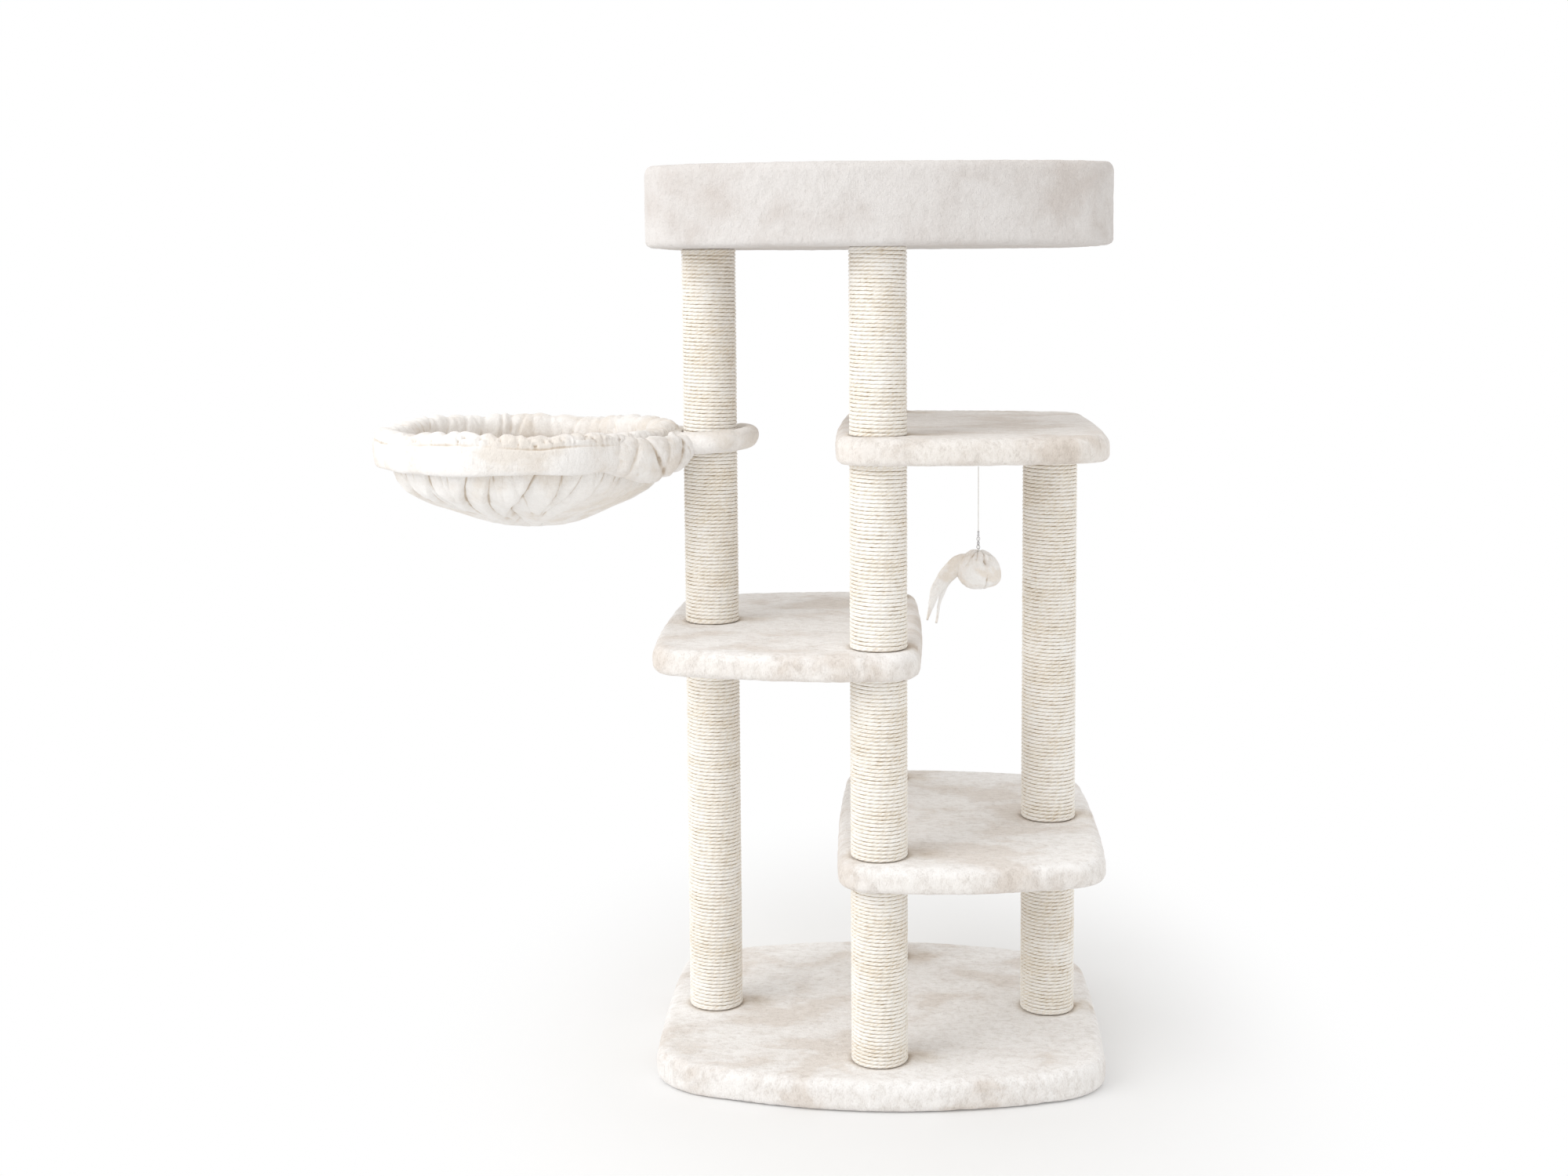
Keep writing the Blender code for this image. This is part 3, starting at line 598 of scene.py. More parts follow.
def paint_board_shade(mesh, feet, height, flat):
    """Paint shade: the top and the edge darker by flat's two amounts, a dark ring round each post's
    foot, and a shadow beside it on the right.
    """
    points, normals = read(mesh)
    upward = clamp(normals[:, 2])
    # painted shade: the top and the edge darkened by flat's two amounts
    mark = 0.5 + flat[0] * upward + flat[1] * (1 - upward)
    level = np.abs(points[:, 2] - height) < LEVEL_REACH
    for post in feet:
        across, deep = points[:, 0] - POSTS[post][0], points[:, 1] - POSTS[post][1]
        ring = np.exp(-np.clip(np.hypot(across, deep) - RING_RADIUS, 0, None) / RING_FADE)
        shadow_right = np.exp(-((across - BESIDE_PLACE[0]) / BESIDE_SIZE[0]) ** 2
                        - ((deep - BESIDE_PLACE[1]) / BESIDE_SIZE[1]) ** 2)
        # painted shade: a dark ring round the foot and a shadow at the post's right
        mark += level * (0.26 * ring + 0.29 * shadow_right * (1 + 0.5 * smooth_noise(points, 0.012, 5)))
    store_painted_shade(mesh, mark)


def open_access(item):
    """Open the holes in the underside through which the posts' bolts are turned."""
    bm = bmesh.new()
    for x, y in POSTS.values():
        bmesh.ops.create_cone(bm, cap_ends=True, segments=40, radius1=ACCESS_RADIUS,
                              radius2=ACCESS_RADIUS, depth=2 * ACCESS_DEPTH,
                              matrix=Matrix.Translation((x, y, 0.0)))
    cutter = linked("access", bm_to_mesh(bm, "access", smooth=False))
    cut = item.modifiers.new("access", "BOOLEAN")
    cut.solver = "EXACT"
    cut.object = cutter
    mesh = apply_modifiers(item)
    bpy.data.objects.remove(cutter)
    mesh.set_sharp_from_angle(angle=ACCESS_SHARP)


def plush_board(name, node, plan, feet, seed, flat):
    """A plush-covered board; feet are the posts on it, flat how much shade is painted on its top and
    its edge.
    """
    low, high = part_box(node)
    bm = bmesh.new()
    loft(bm, [[(x, y, low.z + z) for x, y in outline(*plan, inset)]
              for inset, z in arc_profile(high.z - low.z)])
    mesh = remeshed(bm_to_mesh(bm, name), PLUSH_VOXEL)
    points, normals = read(mesh)
    points = plush_relief(points, normals, seed)
    top = normals[:, 2] > 0.5
    for post in feet:
        x, y = POSTS[post]
        away = np.hypot(points[:, 0] - x, points[:, 1] - y)
        under = top & (away < FOOT_RADIUS)
        points[under, 2] = high.z - FOOT_PRESS
        swell = SWELL_HEIGHT * np.exp(-((away - SWELL_RADIUS) / SWELL_WIDTH) ** 2)
        points[:, 2] += np.where(top & ~under, swell, 0)
    points[:, 2] = np.where(normals[:, 2] < -0.6, np.maximum(points[:, 2], low.z), points[:, 2])
    set_points(mesh, points)
    paint_board_shade(mesh, feet, high.z, flat)
    return add_piece(name, mesh, PLUSH, node=node)


# the last pair is the painted shade on top and edge; the upper right shelf's top is darkened for the
# shade of the bed above it
open_access(plush_board("base_plush", "base_cover", BASE_PLAN, POSTS, 11, (0.0, 0.06)))
plush_board("lower_right_shelf_plush", "lower_right_shelf_cover", RIGHT_PLAN,
            ("front", "back", "right"), 21, (0.0, 0.11))
plush_board("left_shelf_plush", "left_shelf_cover", LEFT_PLAN,
            ("front", "back", "left"), 31, (0.0, 0.13))
plush_board("upper_right_shelf_plush", "upper_right_shelf_cover", RIGHT_PLAN,
            ("front", "back"), 41, (0.1, 0.165))


# ---- bed
BED_VOXEL = 0.004
BED_WALL = 0.0286  # thickness of the padded wall
BED_ROUND_STEPS = 12  # over the top of the wall
BED_RELIEF = 0.8  # strength of the relief on the bed and its cushion


def make_bed():
    """The padded tray: up the outside of the wall, over its top, down the inside to the floor."""
    low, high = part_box("bed_cover")
    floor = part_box("bed_cushion")[0].z - 0.0004
    top_round = BED_WALL / 2
    rings = [(0.006, low.z), (0.0015, low.z + 0.0025), (0.0, low.z + 0.007), (0.0, high.z - top_round)]
    for step in range(1, BED_ROUND_STEPS):
        angle = math.pi * step / BED_ROUND_STEPS
        rings.append((top_round * (1 - math.cos(angle)), high.z - top_round * (1 - math.sin(angle))))
    rings += [(BED_WALL, high.z - top_round), (BED_WALL, floor)]
    bm = bmesh.new()
    loft(bm, [[(x, y, z) for x, y in outline(*BED_PLAN, inset)] for inset, z in rings])
    mesh = remeshed(bm_to_mesh(bm, "bed_plush"), BED_VOXEL)
    set_points(mesh, plush_relief(*read(mesh), 51, BED_RELIEF))
    add_piece("bed_plush", mesh, BED_PLUSH_SHADED, node="bed_cover")


make_bed()


# ---- fabric helpers
def smooth_loop(controls, count):
    """Points on a smooth closed curve through the controls."""
    controls = np.array(controls, float)
    total = len(controls)
    place = np.arange(count) * total / count
    index = np.floor(place).astype(int)
    part = (place - index)[:, None]
    a, b, c, d = (controls[(index + k) % total] for k in (-1, 0, 1, 2))
    return 0.5 * (2 * b + (c - a) * part + (2 * a - 5 * b + 4 * c - d) * part ** 2
                  + (3 * b - a - 3 * c + d) * part ** 3)


def creases(dice, spacing, width, deep, lean):
    """Irregular creases round a circle: (angle, lean, width, depth) of each."""
    found = []
    angle = 0.0
    while angle < 2 * math.pi - spacing * 0.5:
        found.append((angle, dice.uniform(-lean, lean), width * dice.uniform(0.7, 1.4),
                      deep * dice.uniform(0.4, 1.3)))
        angle += spacing * dice.uniform(0.55, 1.45)
    return found


def wrapped(angle):
    """The angle brought to between -pi and pi."""
    return (angle + math.pi) % (2 * math.pi) - math.pi


def crease_depth(angle, part, found):
    """How far the creases draw in at each angle, with part running from 0 to 1 along them."""
    depth = np.zeros(np.broadcast(angle, part).shape)
    for centre, lean, width, deep in found:
        depth += deep * np.exp(-(wrapped(angle - centre - lean * part) / width) ** 2)
    return depth


def around_axis(centre, reach, angle, z):
    """Points at a reach from an upright axis."""
    x, y = centre[0] + reach * np.cos(angle), centre[1] + reach * np.sin(angle)
    return np.stack([x, y, z], axis=2).reshape(-1, 3)


def paint_crease_shade(mesh, steps, scale):
    """Paint shade into creases: the deeper a point lies below the mesh with its creases smoothed out,
    the darker it is made.
    """
    points, normals = read(mesh)
    edges = np.empty(len(mesh.edges) * 2, dtype=np.int32)
    mesh.edges.foreach_get("vertices", edges)
    first, second = edges[0::2], edges[1::2]
    total = len(points)
    near = np.maximum(np.bincount(edges, minlength=total), 1)
    soft = points.copy()
    for _ in range(steps):
        for axis in range(3):
            found = (np.bincount(first, soft[second, axis], total)
                     + np.bincount(second, soft[first, axis], total))
            soft[:, axis] = 0.4 * soft[:, axis] + 0.6 * found / near
    store_painted_shade(mesh, 0.5 + ((soft - points) * normals).sum(axis=1) / scale)


# ---- hammock
RIM_SECTION = [  # (out from the hoop, up from the rod) round the padded rim
    (0.017, 0.018), (0.0205, 0.005), (0.0205, -0.01), (0.019, -0.025), (0.016, -0.035),
    (0.0105, -0.0375), (0.006, -0.03), (-0.002, -0.017), (-0.011, -0.015), (-0.018, -0.008),
    (-0.021, 0.004), (-0.0195, 0.015), (-0.013, 0.023), (-0.002, 0.0262), (0.009, 0.025),
]
RIM_STEPS, RIM_SIDES = 960, 84
RIM_MIDDLE = (0.0, -0.004)
RIM_LOWEST, RIM_TALL = 0.0375, 0.064
RIM_CREASES = [  # (spacing, width, depth, lean) of small and large gathers, soft dents, ruffles
    (0.105, 0.022, 0.0034, 0.35), (0.26, 0.05, 0.003, 0.45),
    (0.42, 0.12, 0.0026, 0.2), (0.045, 0.009, 0.003, 0.15),
]
RIM_SEAM_Z, RIM_SEAM_WIDTH, RIM_SEAM_DEPTH = 0.0105, 0.0026, 0.0022
RIM_RUFFLE_Z, RIM_RUFFLE_REACH = 0.0185, 0.0055
RIM_SWELL = 0.0022


def make_rim():
    """The padded rim: a smooth band outside, gathered over the hoop on top and inside."""
    dice = random.Random(8)
    section = smooth_loop(RIM_SECTION, RIM_SIDES)
    out, up = section.T
    spokes = unit(section - RIM_MIDDLE)
    angle = circle(RIM_STEPS)[:, None]
    part = np.arange(RIM_SIDES)[None, :] / RIM_SIDES - 0.75
    drawings = [crease_depth(angle, part, creases(dice, *row)) for row in RIM_CREASES]
    small, large, soft, ruffles = drawings
    height = (up + RIM_LOWEST) / RIM_TALL
    gathered = 1 / (1 + np.exp((out - 0.0105) / 0.0022)) * clamp(height * 3 - 0.2)
    drawn = (small + large) * gathered + (soft + 0.03 * small) * (1 - gathered)
    outside = clamp((out - 0.006) / 0.006)
    seam = RIM_SEAM_DEPTH * outside * np.exp(-((up - RIM_SEAM_Z) / RIM_SEAM_WIDTH) ** 2)
    above = outside * np.exp(-((up - RIM_RUFFLE_Z) / RIM_RUFFLE_REACH) ** 2)
    drawn = drawn + seam * (1 + 0.4 * np.sin(9 * angle)) + (ruffles - 0.0016) * above
    swell = RIM_SWELL * gathered - drawn
    sway = 0.003 * np.sin(3 * angle + 0.8) + 0.002 * np.sin(7 * angle + 2.0)
    reach = HOOP_RADIUS + (out + spokes[:, 0] * swell)
    rise = up + spokes[:, 1] * swell + sway * clamp(height)
    points = around_axis(HOOP_CENTRE, reach, angle, ROD_Z + rise)
    points += wobble(points, 0.016, 0.0007, 60)
    mesh = mesh_from("hammock_rim", points, grid_quads(RIM_STEPS, RIM_SIDES, close=True).tolist())
    paint_crease_shade(mesh, 26, 0.003)
    return add_piece("hammock_rim", mesh, HAMMOCK_PLUSH, "hammock", "hammock_sling")


COLLAR_SECTION = [  # (out from the post axis, up from the rod)
    (0.049, 0.008), (0.0475, -0.002), (0.05, -0.012), (0.058, -0.0165), (0.07, -0.015),
    (0.079, -0.007), (0.0815, 0.003), (0.079, 0.013), (0.071, 0.019), (0.061, 0.0195),
    (0.053, 0.0155),
]
COLLAR_STEPS, COLLAR_SIDES = 480, 32
COLLAR_MIDDLE = (0.064, 0.002)
COLLAR_CREASES = (1.1, 0.09, 0.002, 0.7)  # (spacing, width, depth, lean)
COLLAR_TILT = 0.004


def make_collar():
    """The padded collar around the left post."""
    section = smooth_loop(COLLAR_SECTION, COLLAR_SIDES)
    spokes = unit(section - COLLAR_MIDDLE)
    angle = circle(COLLAR_STEPS)[:, None]
    part = np.arange(COLLAR_SIDES)[None, :] / COLLAR_SIDES - 0.5
    away = 1 - clamp(-spokes[:, 0])  # nothing moves where the collar meets the rope
    drawn = crease_depth(angle, part, creases(random.Random(21), *COLLAR_CREASES)) * away
    out = section[:, 0] - spokes[:, 0] * drawn
    up = section[:, 1] - spokes[:, 1] * drawn + COLLAR_TILT * np.cos(angle - 0.5) * away
    points = around_axis(POSTS["left"], out, angle, ROD_Z + up)
    faces = grid_quads(COLLAR_STEPS, COLLAR_SIDES, close=True).tolist()
    mesh = mesh_from("hammock_collar", points, faces)
    return add_piece("hammock_collar", mesh, HAMMOCK_PLUSH, "hammock")


BUNCH_LINE = [  # middle of the bunched fabric, from the rim's band to the collar, front side
    (-0.436, -0.176, 1.009), (-0.404, -0.157, 1.003), (-0.374, -0.134, 0.998), (-0.346, -0.108, 1.000),
    (-0.324, -0.08, 1.007), (-0.314, -0.052, 1.014), (-0.318, -0.03, 1.018),
]
BUNCH_TALL = (0.026, 0.034, 0.0385, 0.035, 0.027, 0.0195, 0.014)  # half height at each point
BUNCH_THICK = (0.013, 0.019, 0.0225, 0.0225, 0.02, 0.017, 0.012)  # half thickness
BUNCH_CREASES = [  # (place along, lean, width, depth)
    (0.2, 0.05, 0.016, 0.0045), (0.4, -0.07, 0.02, 0.0105), (0.47, 0.03, 0.012, 0.0035),
    (0.61, 0.06, 0.017, 0.009), (0.69, -0.04, 0.011, 0.0045), (0.765, 0.05, 0.012, 0.0055),
    (0.83, -0.03, 0.01, 0.004), (0.9, 0.04, 0.011, 0.0045),
]
BUNCH_STEPS, BUNCH_SIDES = 150, 56
BUNCH_EVENING = 60
NECK_BALLS = [  # (centre, half sizes, subdivisions): filling between the bunches, and a knot
    ((-0.366, 0.0, 1.014), (0.054, 0.112, 0.023), 4),
    ((-0.35, 0.0, 1.018), (0.034, 0.07, 0.022), 4),
    ((-0.337, -0.088, 1.035), (0.0068, 0.006, 0.006), 3),
]
NECK_VOXEL = 0.0021
NECK_RELIEF = ((0.02, 0.0016), (0.008, 0.0009))
NECK_RUFFLE = 0.0014  # height of the ruffles on top,
NECK_RUFFLE_Y = 0.075  # which end here,
NECK_RUFFLE_X = -0.334  # and here
NECK_CLEAR = 0.0478  # nothing of it is nearer to the post's axis


def bunch(bm, side):
    """The band bunched up where it turns in to the collar, in pillow-like folds."""
    middle = along(np.array(BUNCH_LINE) * np.array([1.0, -side, 1.0]), BUNCH_STEPS)
    tall, thick = along(BUNCH_TALL, BUNCH_STEPS), along(BUNCH_THICK, BUNCH_STEPS)
    for values in (middle, tall, thick):
        even_out(values, BUNCH_EVENING)
    tangent = np.gradient(middle, axis=0)
    tangent[:, 2] = 0
    tangent = unit(tangent)
    outward = np.stack([tangent[:, 1], -tangent[:, 0], np.zeros(BUNCH_STEPS)], axis=1) * side
    part = (np.arange(BUNCH_STEPS) / (BUNCH_STEPS - 1))[:, None]
    turn = circle(BUNCH_SIDES)[None, :]
    drawn = np.zeros((BUNCH_STEPS, BUNCH_SIDES))
    for centre, lean, width, deep in BUNCH_CREASES:
        drawn += deep * np.exp(-np.abs((part - centre - lean * np.sin(turn)) / width) ** 1.3)
    out = np.sign(np.cos(turn)) * np.abs(np.cos(turn)) ** 0.85 * (thick[:, None] - drawn)
    rows = middle[:, None, :] + outward[:, None, :] * out[:, :, None]
    rows[:, :, 2] += np.sin(turn) * (tall[:, None] - 0.55 * drawn)
    loft(bm, rows.tolist())


def make_neck():
    """The bunched fabric over the bar, between the rim and the collar."""
    bm = bmesh.new()
    bunch(bm, -1)
    bunch(bm, 1)
    for place, size, subdivisions in NECK_BALLS:
        shape = Matrix.Translation(place) @ Matrix.Diagonal((*size, 1))
        bmesh.ops.create_icosphere(bm, subdivisions=subdivisions, radius=1.0, matrix=shape)
    mesh = remeshed(bm_to_mesh(bm, "neck"), NECK_VOXEL)
    points, normals = read(mesh)
    ruffle = np.sin(points[:, 1] * 330 + 5 * np.sin(points[:, 0] * 60)) * NECK_RUFFLE
    on_top = (np.abs(points[:, 1]) < NECK_RUFFLE_Y) * clamp(normals[:, 2])
    ruffle *= on_top * clamp((NECK_RUFFLE_X - points[:, 0]) / 0.01)
    points = points + normals * (lumps(points, NECK_RELIEF, 71) + ruffle)[:, None]
    x, y = POSTS["left"]
    away = np.hypot(points[:, 0] - x, points[:, 1] - y)
    grow = np.maximum(NECK_CLEAR / np.maximum(away, 1e-6), 1)
    points[:, 0] = x + (points[:, 0] - x) * grow
    points[:, 1] = y + (points[:, 1] - y) * grow
    set_points(mesh, points)
    paint_crease_shade(mesh, 16, 0.0028)
    return add_piece("hammock_neck", mesh, HAMMOCK_PLUSH, "hammock")


SLING_EDGE = 0.224  # where the sling is sewn in under the rim, from the hoop's centre
SLING_EDGE_Z = 0.998
SLING_BOTTOM_Z = 0.8765
SLING_BOTTOM_SHIFT = 0.012  # of its lowest point, towards the post
SLING_PROFILE = [  # (share of the way out, share of the way up)
    (0.0, 0.0), (0.12, 0.008), (0.25, 0.04), (0.36, 0.1), (0.47, 0.19), (0.6, 0.3),
    (0.73, 0.41), (0.85, 0.53), (0.93, 0.64), (0.975, 0.78), (1.0, 1.0),
]
SLING_AROUND, SLING_ROWS = 640, 66
SLING_FINE, SLING_EVENING = 400, 250
SLING_FOLDS = [  # ((spacing, width, depth, lean), where they begin, where they end)
    ((0.5, 0.06, 0.015, 0.45), 0.06, 1.2),
    ((0.27, 0.036, 0.0095, 0.45), 0.4, 1.2),
    ((0.12, 0.02, 0.005, 0.25), 0.7, 1.3),
]
SLING_RELIEF = ((0.008, 0.0005), (0.022, 0.001))
SLING_THICKNESS = 0.003


def sling_profile():
    """(share of the way along the cloth, radius, height) of each row, as columns."""
    fine = np.linspace(0, 1, SLING_FINE)
    reach = SLING_EDGE * fine
    rise = np.interp(fine, *np.array(SLING_PROFILE).T)
    even_out(rise, SLING_EVENING)
    drop = SLING_BOTTOM_Z + (SLING_EDGE_Z - SLING_BOTTOM_Z) * rise
    run = np.concatenate([[0], np.cumsum(np.hypot(np.diff(reach), np.diff(drop)))])
    run *= 1 / run[-1]
    share = np.arange(1, SLING_ROWS + 1) / SLING_ROWS
    return share[:, None], np.interp(share, run, reach)[:, None], np.interp(share, run, drop)[:, None]


def make_sling():
    """The bowl: a round cloth gathered to the rim, hanging in folds that run to its lowest point."""
    dice = random.Random(33)
    share, base_radius, base_z = sling_profile()
    angle = circle(SLING_AROUND)[None, :]
    lift = np.zeros((SLING_ROWS, SLING_AROUND))
    for row, begin, end in SLING_FOLDS:
        fade = clamp((share - begin) / 0.28) * clamp((end - share) / 0.12)
        for centre, skew, narrow, depth in creases(dice, *row):
            gap = wrapped(angle - centre - skew * (1 - share))
            spread = narrow / np.maximum(share, 0.25)
            gap = gap + 0.5 * spread * np.sin(6 * share + centre)
            gentle, steep = np.exp(-gap / (1.3 * spread)), np.exp(-(gap / (0.3 * spread)) ** 2)
            fold = np.where(gap > 0, gentle, steep)
            lift -= depth * fold * fade
        lift += row[2] * 0.32 * fade
    wander = 0.003 * np.sin(4 * angle + 1.0) * share * (1 - share) * 4
    radius = base_radius + (0.45 * lift + wander) * clamp(share * 3)
    middle = (HOOP_CENTRE[0] + SLING_BOTTOM_SHIFT * (1 - share) ** 2, HOOP_CENTRE[1])
    lowest = [HOOP_CENTRE[0] + SLING_BOTTOM_SHIFT, HOOP_CENTRE[1], SLING_BOTTOM_Z]
    points = around_axis(middle, radius, angle, base_z - 0.9 * lift)
    faces = [(0, 1 + i, 1 + (i + 1) % SLING_AROUND) for i in range(SLING_AROUND)]
    faces += (1 + grid_quads(SLING_ROWS, SLING_AROUND)[:, [0, 3, 2, 1]]).tolist()
    mesh = mesh_from("hammock_bowl", np.concatenate([[lowest], points]), faces)
    item = add_piece("hammock_bowl", mesh, SLING_PLUSH_LIT, "hammock")
    item.modifiers.new("relax", "SMOOTH").iterations = 2
    wall = item.modifiers.new("thickness", "SOLIDIFY")
    wall.thickness = SLING_THICKNESS
    wall.offset = 0.0
    mesh = apply_modifiers(item)
    points, normals = read(mesh)
    set_points(mesh, points + normals * lumps(points, SLING_RELIEF, 81)[:, None])
    paint_crease_shade(mesh, 14, 0.003)
    return item


hammock_rim = make_rim()
hammock_collar = make_collar()
hammock_neck = make_neck()
hammock_bowl = make_sling()


# ---- toy
TOY_CENTRE = (0.16, -0.1, 0.8165)
TOY_HALF = (0.035, 0.031, 0.0345)  # half sizes of the body
TOY_LOWER = 0.002  # how far its middle is below the centre
TOY_RINGS, TOY_AROUND = 72, 96
TOY_PINCH = (0.62, 0.15, 0.0042, 0.5)  # (spacing, width, depth, lean) of the gathers on top
TOY_FLOOR = -0.0338  # underside, from the centre
TOY_SLOPE_FROM, TOY_SLOPE = -0.01, 0.42  # where it starts to rise towards the tail, and how fast
TOY_DIMPLE = ((0.42, -0.66, 0.62), 0.26, 0.0075)  # (direction, width, depth)
TOY_CORNER = ((0.86, -0.15, -0.48), 0.35, 0.0045)
STRIP_STEPS, STRIP_SIDES = 40, 20
STRIP_FACING = (0.25, -1.0, 0.1)
TOY_TAIL = [  # (middle line, widths, thicknesses) of each strip
    ([(0.156, -0.104, 0.826), (0.128, -0.106, 0.827), (0.106, -0.106, 0.806), (0.09, -0.104, 0.778),
      (0.0775, -0.101, 0.733)],
     (0.034, 0.031, 0.024, 0.015, 0.003), (0.016, 0.013, 0.009, 0.006, 0.002)),
    ([(0.152, -0.096, 0.824), (0.126, -0.092, 0.818), (0.108, -0.094, 0.796), (0.0975, -0.098, 0.764),
      (0.0925, -0.1, 0.7285)],
     (0.026, 0.024, 0.014, 0.0055, 0.0034), (0.012, 0.01, 0.007, 0.0035, 0.002)),
    ([(0.156, -0.104, 0.83), (0.128, -0.109, 0.832), (0.102, -0.109, 0.812), (0.086, -0.106, 0.784),
      (0.08, -0.103, 0.752)],
     (0.02, 0.016, 0.012, 0.008, 0.0025), (0.008, 0.007, 0.006, 0.004, 0.0018)),
]


def swept_strip(name, line, widths, thicknesses, seed):
    """A soft flat strip along a curve through the points of line, tapering as the widths say."""
    middle = along(line, STRIP_STEPS)
    even_out(middle, 6)
    wide, thick = along(widths, STRIP_STEPS), along(thicknesses, STRIP_STEPS)
    tangent = unit(np.gradient(middle, axis=0))
    across = unit(np.cross(tangent, np.array(STRIP_FACING)))
    out = np.cross(across, tangent)
    rows = []
    for turn in circle(STRIP_SIDES):
        edge = np.sign(math.cos(turn)) * abs(math.cos(turn)) ** 0.9
        rows.append(middle + across * (wide * 0.5 * edge)[:, None]
                    + out * (thick * 0.5 * math.sin(turn))[:, None])
    rows = np.stack(rows, axis=1)
    flat = rows.reshape(-1, 3)
    flat += wobble(flat, 0.007, 0.0006, seed)
    bm = bmesh.new()
    loft(bm, rows.tolist())
    return bm_to_mesh(bm, name)


def spot(spokes, direction, width, height):
    """A round bump on the toy's body, in a direction from its middle."""
    return height * np.exp(-(np.linalg.norm(spokes - np.array(direction), axis=1) / width) ** 2)


def make_body():
    """The toy's plump body, pinched at its top, with a seam and a flattened underside."""
    tilt = (math.pi * (np.arange(TOY_RINGS) + 0.5) / TOY_RINGS)[:, None]
    angle = circle(TOY_AROUND)[None, :]
    x = TOY_HALF[0] * np.sin(tilt) * np.cos(angle)
    y = TOY_HALF[1] * np.sin(tilt) * np.sin(angle)
    z = np.broadcast_to(TOY_HALF[2] * np.cos(tilt) - TOY_LOWER, x.shape)
    flat = np.stack([x, y, z], axis=2).reshape(-1, 3)
    spokes = unit(flat)
    turn = np.arctan2(spokes[:, 1], spokes[:, 0])
    high = clamp(spokes[:, 2])
    pinch = crease_depth(turn, high, creases(random.Random(4), *TOY_PINCH)) * high ** 1.2
    seam = 0.0022 * np.exp(-((spokes[:, 0] * 0.94 + spokes[:, 1] * 0.3 - 0.16) / 0.045) ** 2)
    sag = 0.003 * clamp(-spokes[:, 2]) ** 2
    lift = -pinch - seam - spot(spokes, *TOY_DIMPLE) - sag
    lift = lift + 0.0016 * smooth_noise(flat, 0.014, 91) + 0.0007 * smooth_noise(flat, 0.005, 92)
    flat += spokes * (lift + spot(spokes, *TOY_CORNER))[:, None]
    rising = TOY_SLOPE * clamp(TOY_SLOPE_FROM - flat[:, 0])
    sunk = TOY_FLOOR + rising + 0.001 * smooth_noise(flat, 0.012, 93) - flat[:, 2]
    flat[:, 2] += np.where(sunk > -0.004, (sunk + 0.004) ** 2 / np.maximum(sunk + 0.012, 0.008), 0)
    flat += np.array(TOY_CENTRE)
    bm = bmesh.new()
    loft(bm, flat.reshape(TOY_RINGS, TOY_AROUND, 3).tolist())
    mesh = bm_to_mesh(bm, "toy_plush")
    paint_crease_shade(mesh, 10, 0.0032)
    return add_piece("toy_plush", mesh, TOY_PLUSH, "toy", "toy_body")


def make_tail():
    for number, strip in enumerate(TOY_TAIL):
        name = f"toy_tail_{number + 1}"
        mesh = swept_strip(name, *strip, 95 + 7 * number)
        paint_crease_shade(mesh, 6, 0.0016)
        add_piece(name, mesh, TOY_PLUSH, "toy")


CRIMP_Z, SWIVEL_Z = 0.87, 0.856  # of their lower ends
CRIMP_PROFILE = [(0.0008, 0.0), (0.0017, 0.0004), (0.002, 0.0015), (0.0015, 0.003),
                 (0.0015, 0.0062), (0.0019, 0.0075), (0.0016, 0.0086), (0.0008, 0.009)]
SWIVEL_PROFILE = [(0.0007, 0.0), (0.0014, 0.0003), (0.0022, 0.0016), (0.0022, 0.0046),
                  (0.0013, 0.0062), (0.0007, 0.0066)]
CLASP_RINGS = [  # (middle z, radius, half thickness of the wire, turn about the vertical)
    (0.8662, 0.003, 0.00055, 0.5),
    (0.853, 0.0032, 0.0006, -0.7),
]
TURNED_STEPS, WIRE_STEPS, WIRE_SIDES = 24, 36, 10


def turned(bm, profile, place):
    """Turn (radius, z) points about a vertical axis through place."""
    x, y, base = place
    loft(bm, [[(x + radius * math.cos(a), y + radius * math.sin(a), base + z)
               for a in circle(TURNED_STEPS)] for radius, z in profile])


def wire_ring(bm, place, major, minor, tilt):
    """A small upright wire ring; tilt turns it about the vertical."""
    rings = []
    for angle in circle(WIRE_STEPS):
        ring = []
        for turn in circle(WIRE_SIDES):
            reach = major + minor * math.cos(turn)
            x, y, z = reach * math.cos(angle), minor * math.sin(turn), reach * math.sin(angle)
            ring.append((place[0] + x * math.cos(tilt) - y * math.sin(tilt),
                         place[1] + x * math.sin(tilt) + y * math.cos(tilt), place[2] + z))
        rings.append(ring)
    loft(bm, rings, close=True)


def make_clasp():
    """The crimp, the small swivel and two rings between the string and the toy."""
    x, y = STRING_TOP[:2]
    bm = bmesh.new()
    turned(bm, CRIMP_PROFILE, (x, y, CRIMP_Z))
    turned(bm, SWIVEL_PROFILE, (x, y, SWIVEL_Z))
    for z, major, minor, tilt in CLASP_RINGS:
        wire_ring(bm, (x, y, z), major, minor, tilt)
    return add_piece("toy_clasp", bm_to_mesh(bm, "toy_clasp"), STEEL, "toy")


toy_body = make_body()
make_tail()
toy_clasp = make_clasp()


# ---- bed cushion
CUSHION_VOXEL = 0.0075
CUSHION_START = (0.985, 0.985, 0.9)  # size before it is puffed up, as a share of the node's
CUSHION_LOWER = 0.001
CUSHION_FRAMES = 14
CUSHION_PUFF = 0.01  # no point moves further than this
CUSHION_GAP, CUSHION_FLOOR_GAP = 0.0005, 0.0003
CUSHION_CLOTH = {
    "quality": 6, "mass": 0.3,
    "tension_stiffness": 20.0, "compression_stiffness": 20.0, "shear_stiffness": 20.0 / 3,
    "bending_stiffness": 1.0, "tension_damping": 15, "compression_damping": 15, "air_damping": 4,
    "use_pressure": True, "uniform_pressure_force": 4.0,
}


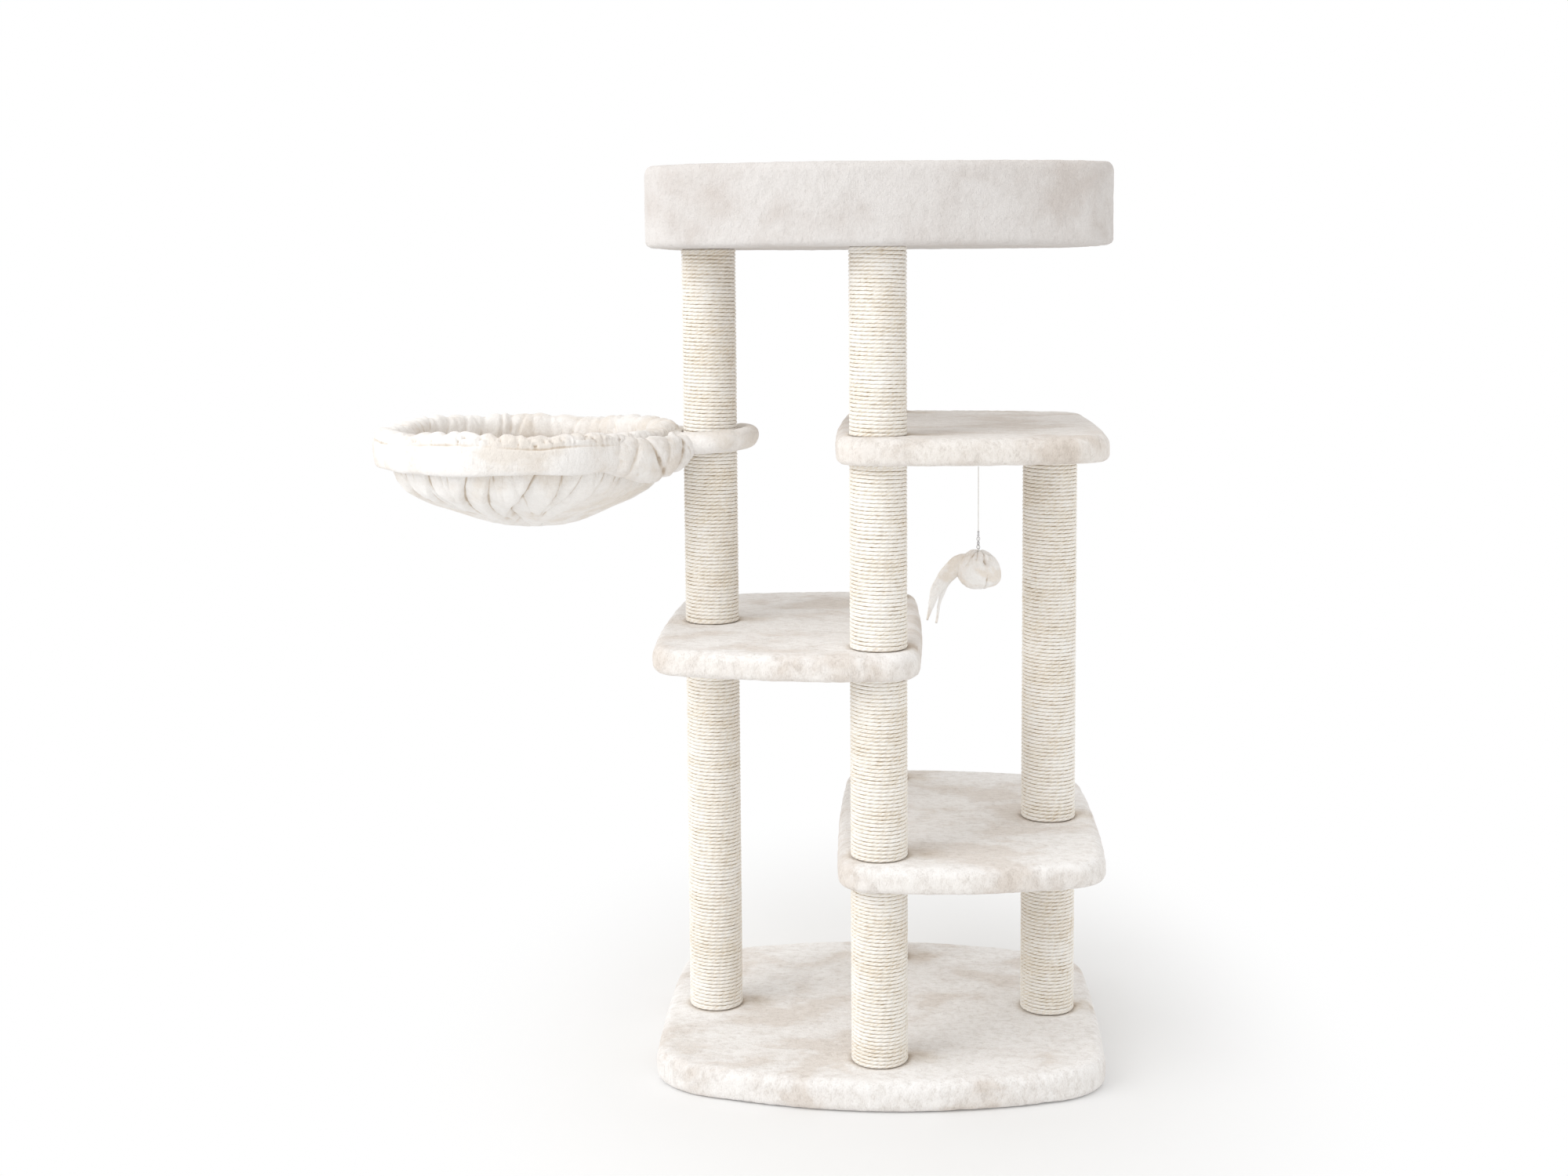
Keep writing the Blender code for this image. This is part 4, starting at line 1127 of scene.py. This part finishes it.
def settle(item, settings, frames):
    """Run the cloth, without gravity, for some frames and keep the shape it has come to."""
    modifier = item.modifiers.new("cloth", "CLOTH")
    for name, value in settings.items():
        setattr(modifier.settings, name, value)
    modifier.settings.effector_weights.gravity = 0.0
    modifier.point_cache.frame_start = 1
    modifier.point_cache.frame_end = frames
    for step in range(1, frames + 1):
        scene.frame_set(step)
    apply_modifiers(item)
    scene.frame_set(1)


def make_cushion():
    """The loose cushion in the bed: remeshed, puffed by the cloth's pressure, then smoothed."""
    low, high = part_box("bed_cushion")
    mesh = remeshed(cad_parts["bed_cushion"].data.copy(), CUSHION_VOXEL)
    item = add_piece("bed_pad", mesh, PLUSH, node="bed_cushion")
    middle = np.array((low + high) / 2)
    points = middle + (read(item.data)[0] - middle) * np.array(CUSHION_START)
    points[:, 2] -= CUSHION_LOWER
    set_points(item.data, points)
    settle(item, CUSHION_CLOTH, CUSHION_FRAMES)
    step = read(item.data)[0] - points
    length = np.linalg.norm(step, axis=1)
    step *= (np.minimum(length, CUSHION_PUFF) / np.maximum(length, 1e-9))[:, None]
    points = points + step
    points[:, 2] = np.maximum(points[:, 2], low.z + CUSHION_FLOOR_GAP)
    for axis in (0, 1):
        inside = high[axis] - CUSHION_GAP
        points[:, axis] = np.clip(points[:, axis], -inside, inside)
    set_points(item.data, points)
    subdivide = item.modifiers.new("subdivide", "SUBSURF")
    subdivide.levels = 1
    subdivide.render_levels = 1
    mesh = apply_modifiers(item)
    set_points(mesh, plush_relief(*read(mesh), 131, BED_RELIEF))
    return item


bed_pad = make_cushion()


# ---- finishes on CAD nodes
FINISHES = [  # (end of the node's name, material); the rest are steel
    ("_tube", CARD), ("_board", BOARD), ("bed_tray", BOARD), ("hammock_frame", PAINTED),
    ("hammock_sling", HAMMOCK_PLUSH), ("toy_body", TOY_PLUSH), ("_sisal", SISAL),
    ("_cover", PLUSH), ("bed_cushion", PLUSH),
]
for node_name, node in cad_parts.items():
    finish = next((material for ending, material in FINISHES if node_name.endswith(ending)), STEEL)
    for material_slot in node.material_slots:
        material_slot.link = "OBJECT"
        material_slot.material = finish


# ---- floor and light
WHITE = (1.0, 1.0, 1.0, 1.0)
FLOOR_GREY = (0.84, 0.84, 0.84, 1.0)
FLOOR_GAP = 0.0005  # below the tree
GLOW_STRETCH = (1.5, 0.9, 1.0)
WORLD_LIGHT = (1.0, 0.995, 0.985, 1.0)
KEY_PLACE = (-3.0, -2.1, 3.0)
KEY_AIM = (0.0, 0.0, 0.7)
KEY_SIZE = 3.0
KEY_POWER = 82.0


def make_floor():
    """A pale floor that brightens into the white surroundings away from the tree."""
    bm = bmesh.new()
    bmesh.ops.create_grid(bm, x_segments=4, y_segments=4, size=14.0)
    item = linked("floor", bm_to_mesh(bm, "floor"))
    material = bpy.data.materials.new("floor_white")
    n = Nodes(material)
    shader = n.surface(Base_Color=FLOOR_GREY, Roughness=0.9, Specular_IOR_Level=0.1)
    distance = n.add("VectorMath", operation="LENGTH", Vector=n.stretched(n.place(), GLOW_STRETCH))
    spread = n.add("MapRange", interpolation_type="SMOOTHSTEP", From_Min=0.45, From_Max=1.25,
                   To_Min=0.05, Value=distance.outputs["Value"])
    glow = n.add("Emission", Color=WHITE, Strength=1.0)
    mix = n.mix(spread.outputs["Result"], shader.outputs["BSDF"], glow.outputs["Emission"])
    n.put(n.tree.nodes["Material Output"].inputs["Surface"], mix)
    item.data.materials.append(material)
    item.location.z = -FLOOR_GAP


def make_world():
    """Bright even surroundings, pure white where they are seen."""
    world = bpy.data.worlds.new("studio")
    scene.world = world
    n = Nodes(world)
    n.tree.nodes.clear()
    lit = n.add("Background", Color=WORLD_LIGHT, Strength=0.95).outputs["Background"]
    seen = n.add("Background", Color=WHITE, Strength=1.0).outputs["Background"]
    n.add("OutputWorld", Surface=n.mix(n.add("LightPath").outputs["Is Camera Ray"], lit, seen))


def make_light():
    """One large soft light, up at the left in front of the tree."""
    data = bpy.data.lights.new("key", "AREA")
    data.size = KEY_SIZE
    data.energy = KEY_POWER
    item = linked("key", data)
    item.location = KEY_PLACE
    item.rotation_mode = "QUATERNION"
    item.rotation_quaternion = (Vector(KEY_AIM) - Vector(KEY_PLACE)).to_track_quat("-Z", "Y")
    item.visible_camera = False


make_floor()
make_world()
make_light()
scene.view_settings.view_transform = "Standard"
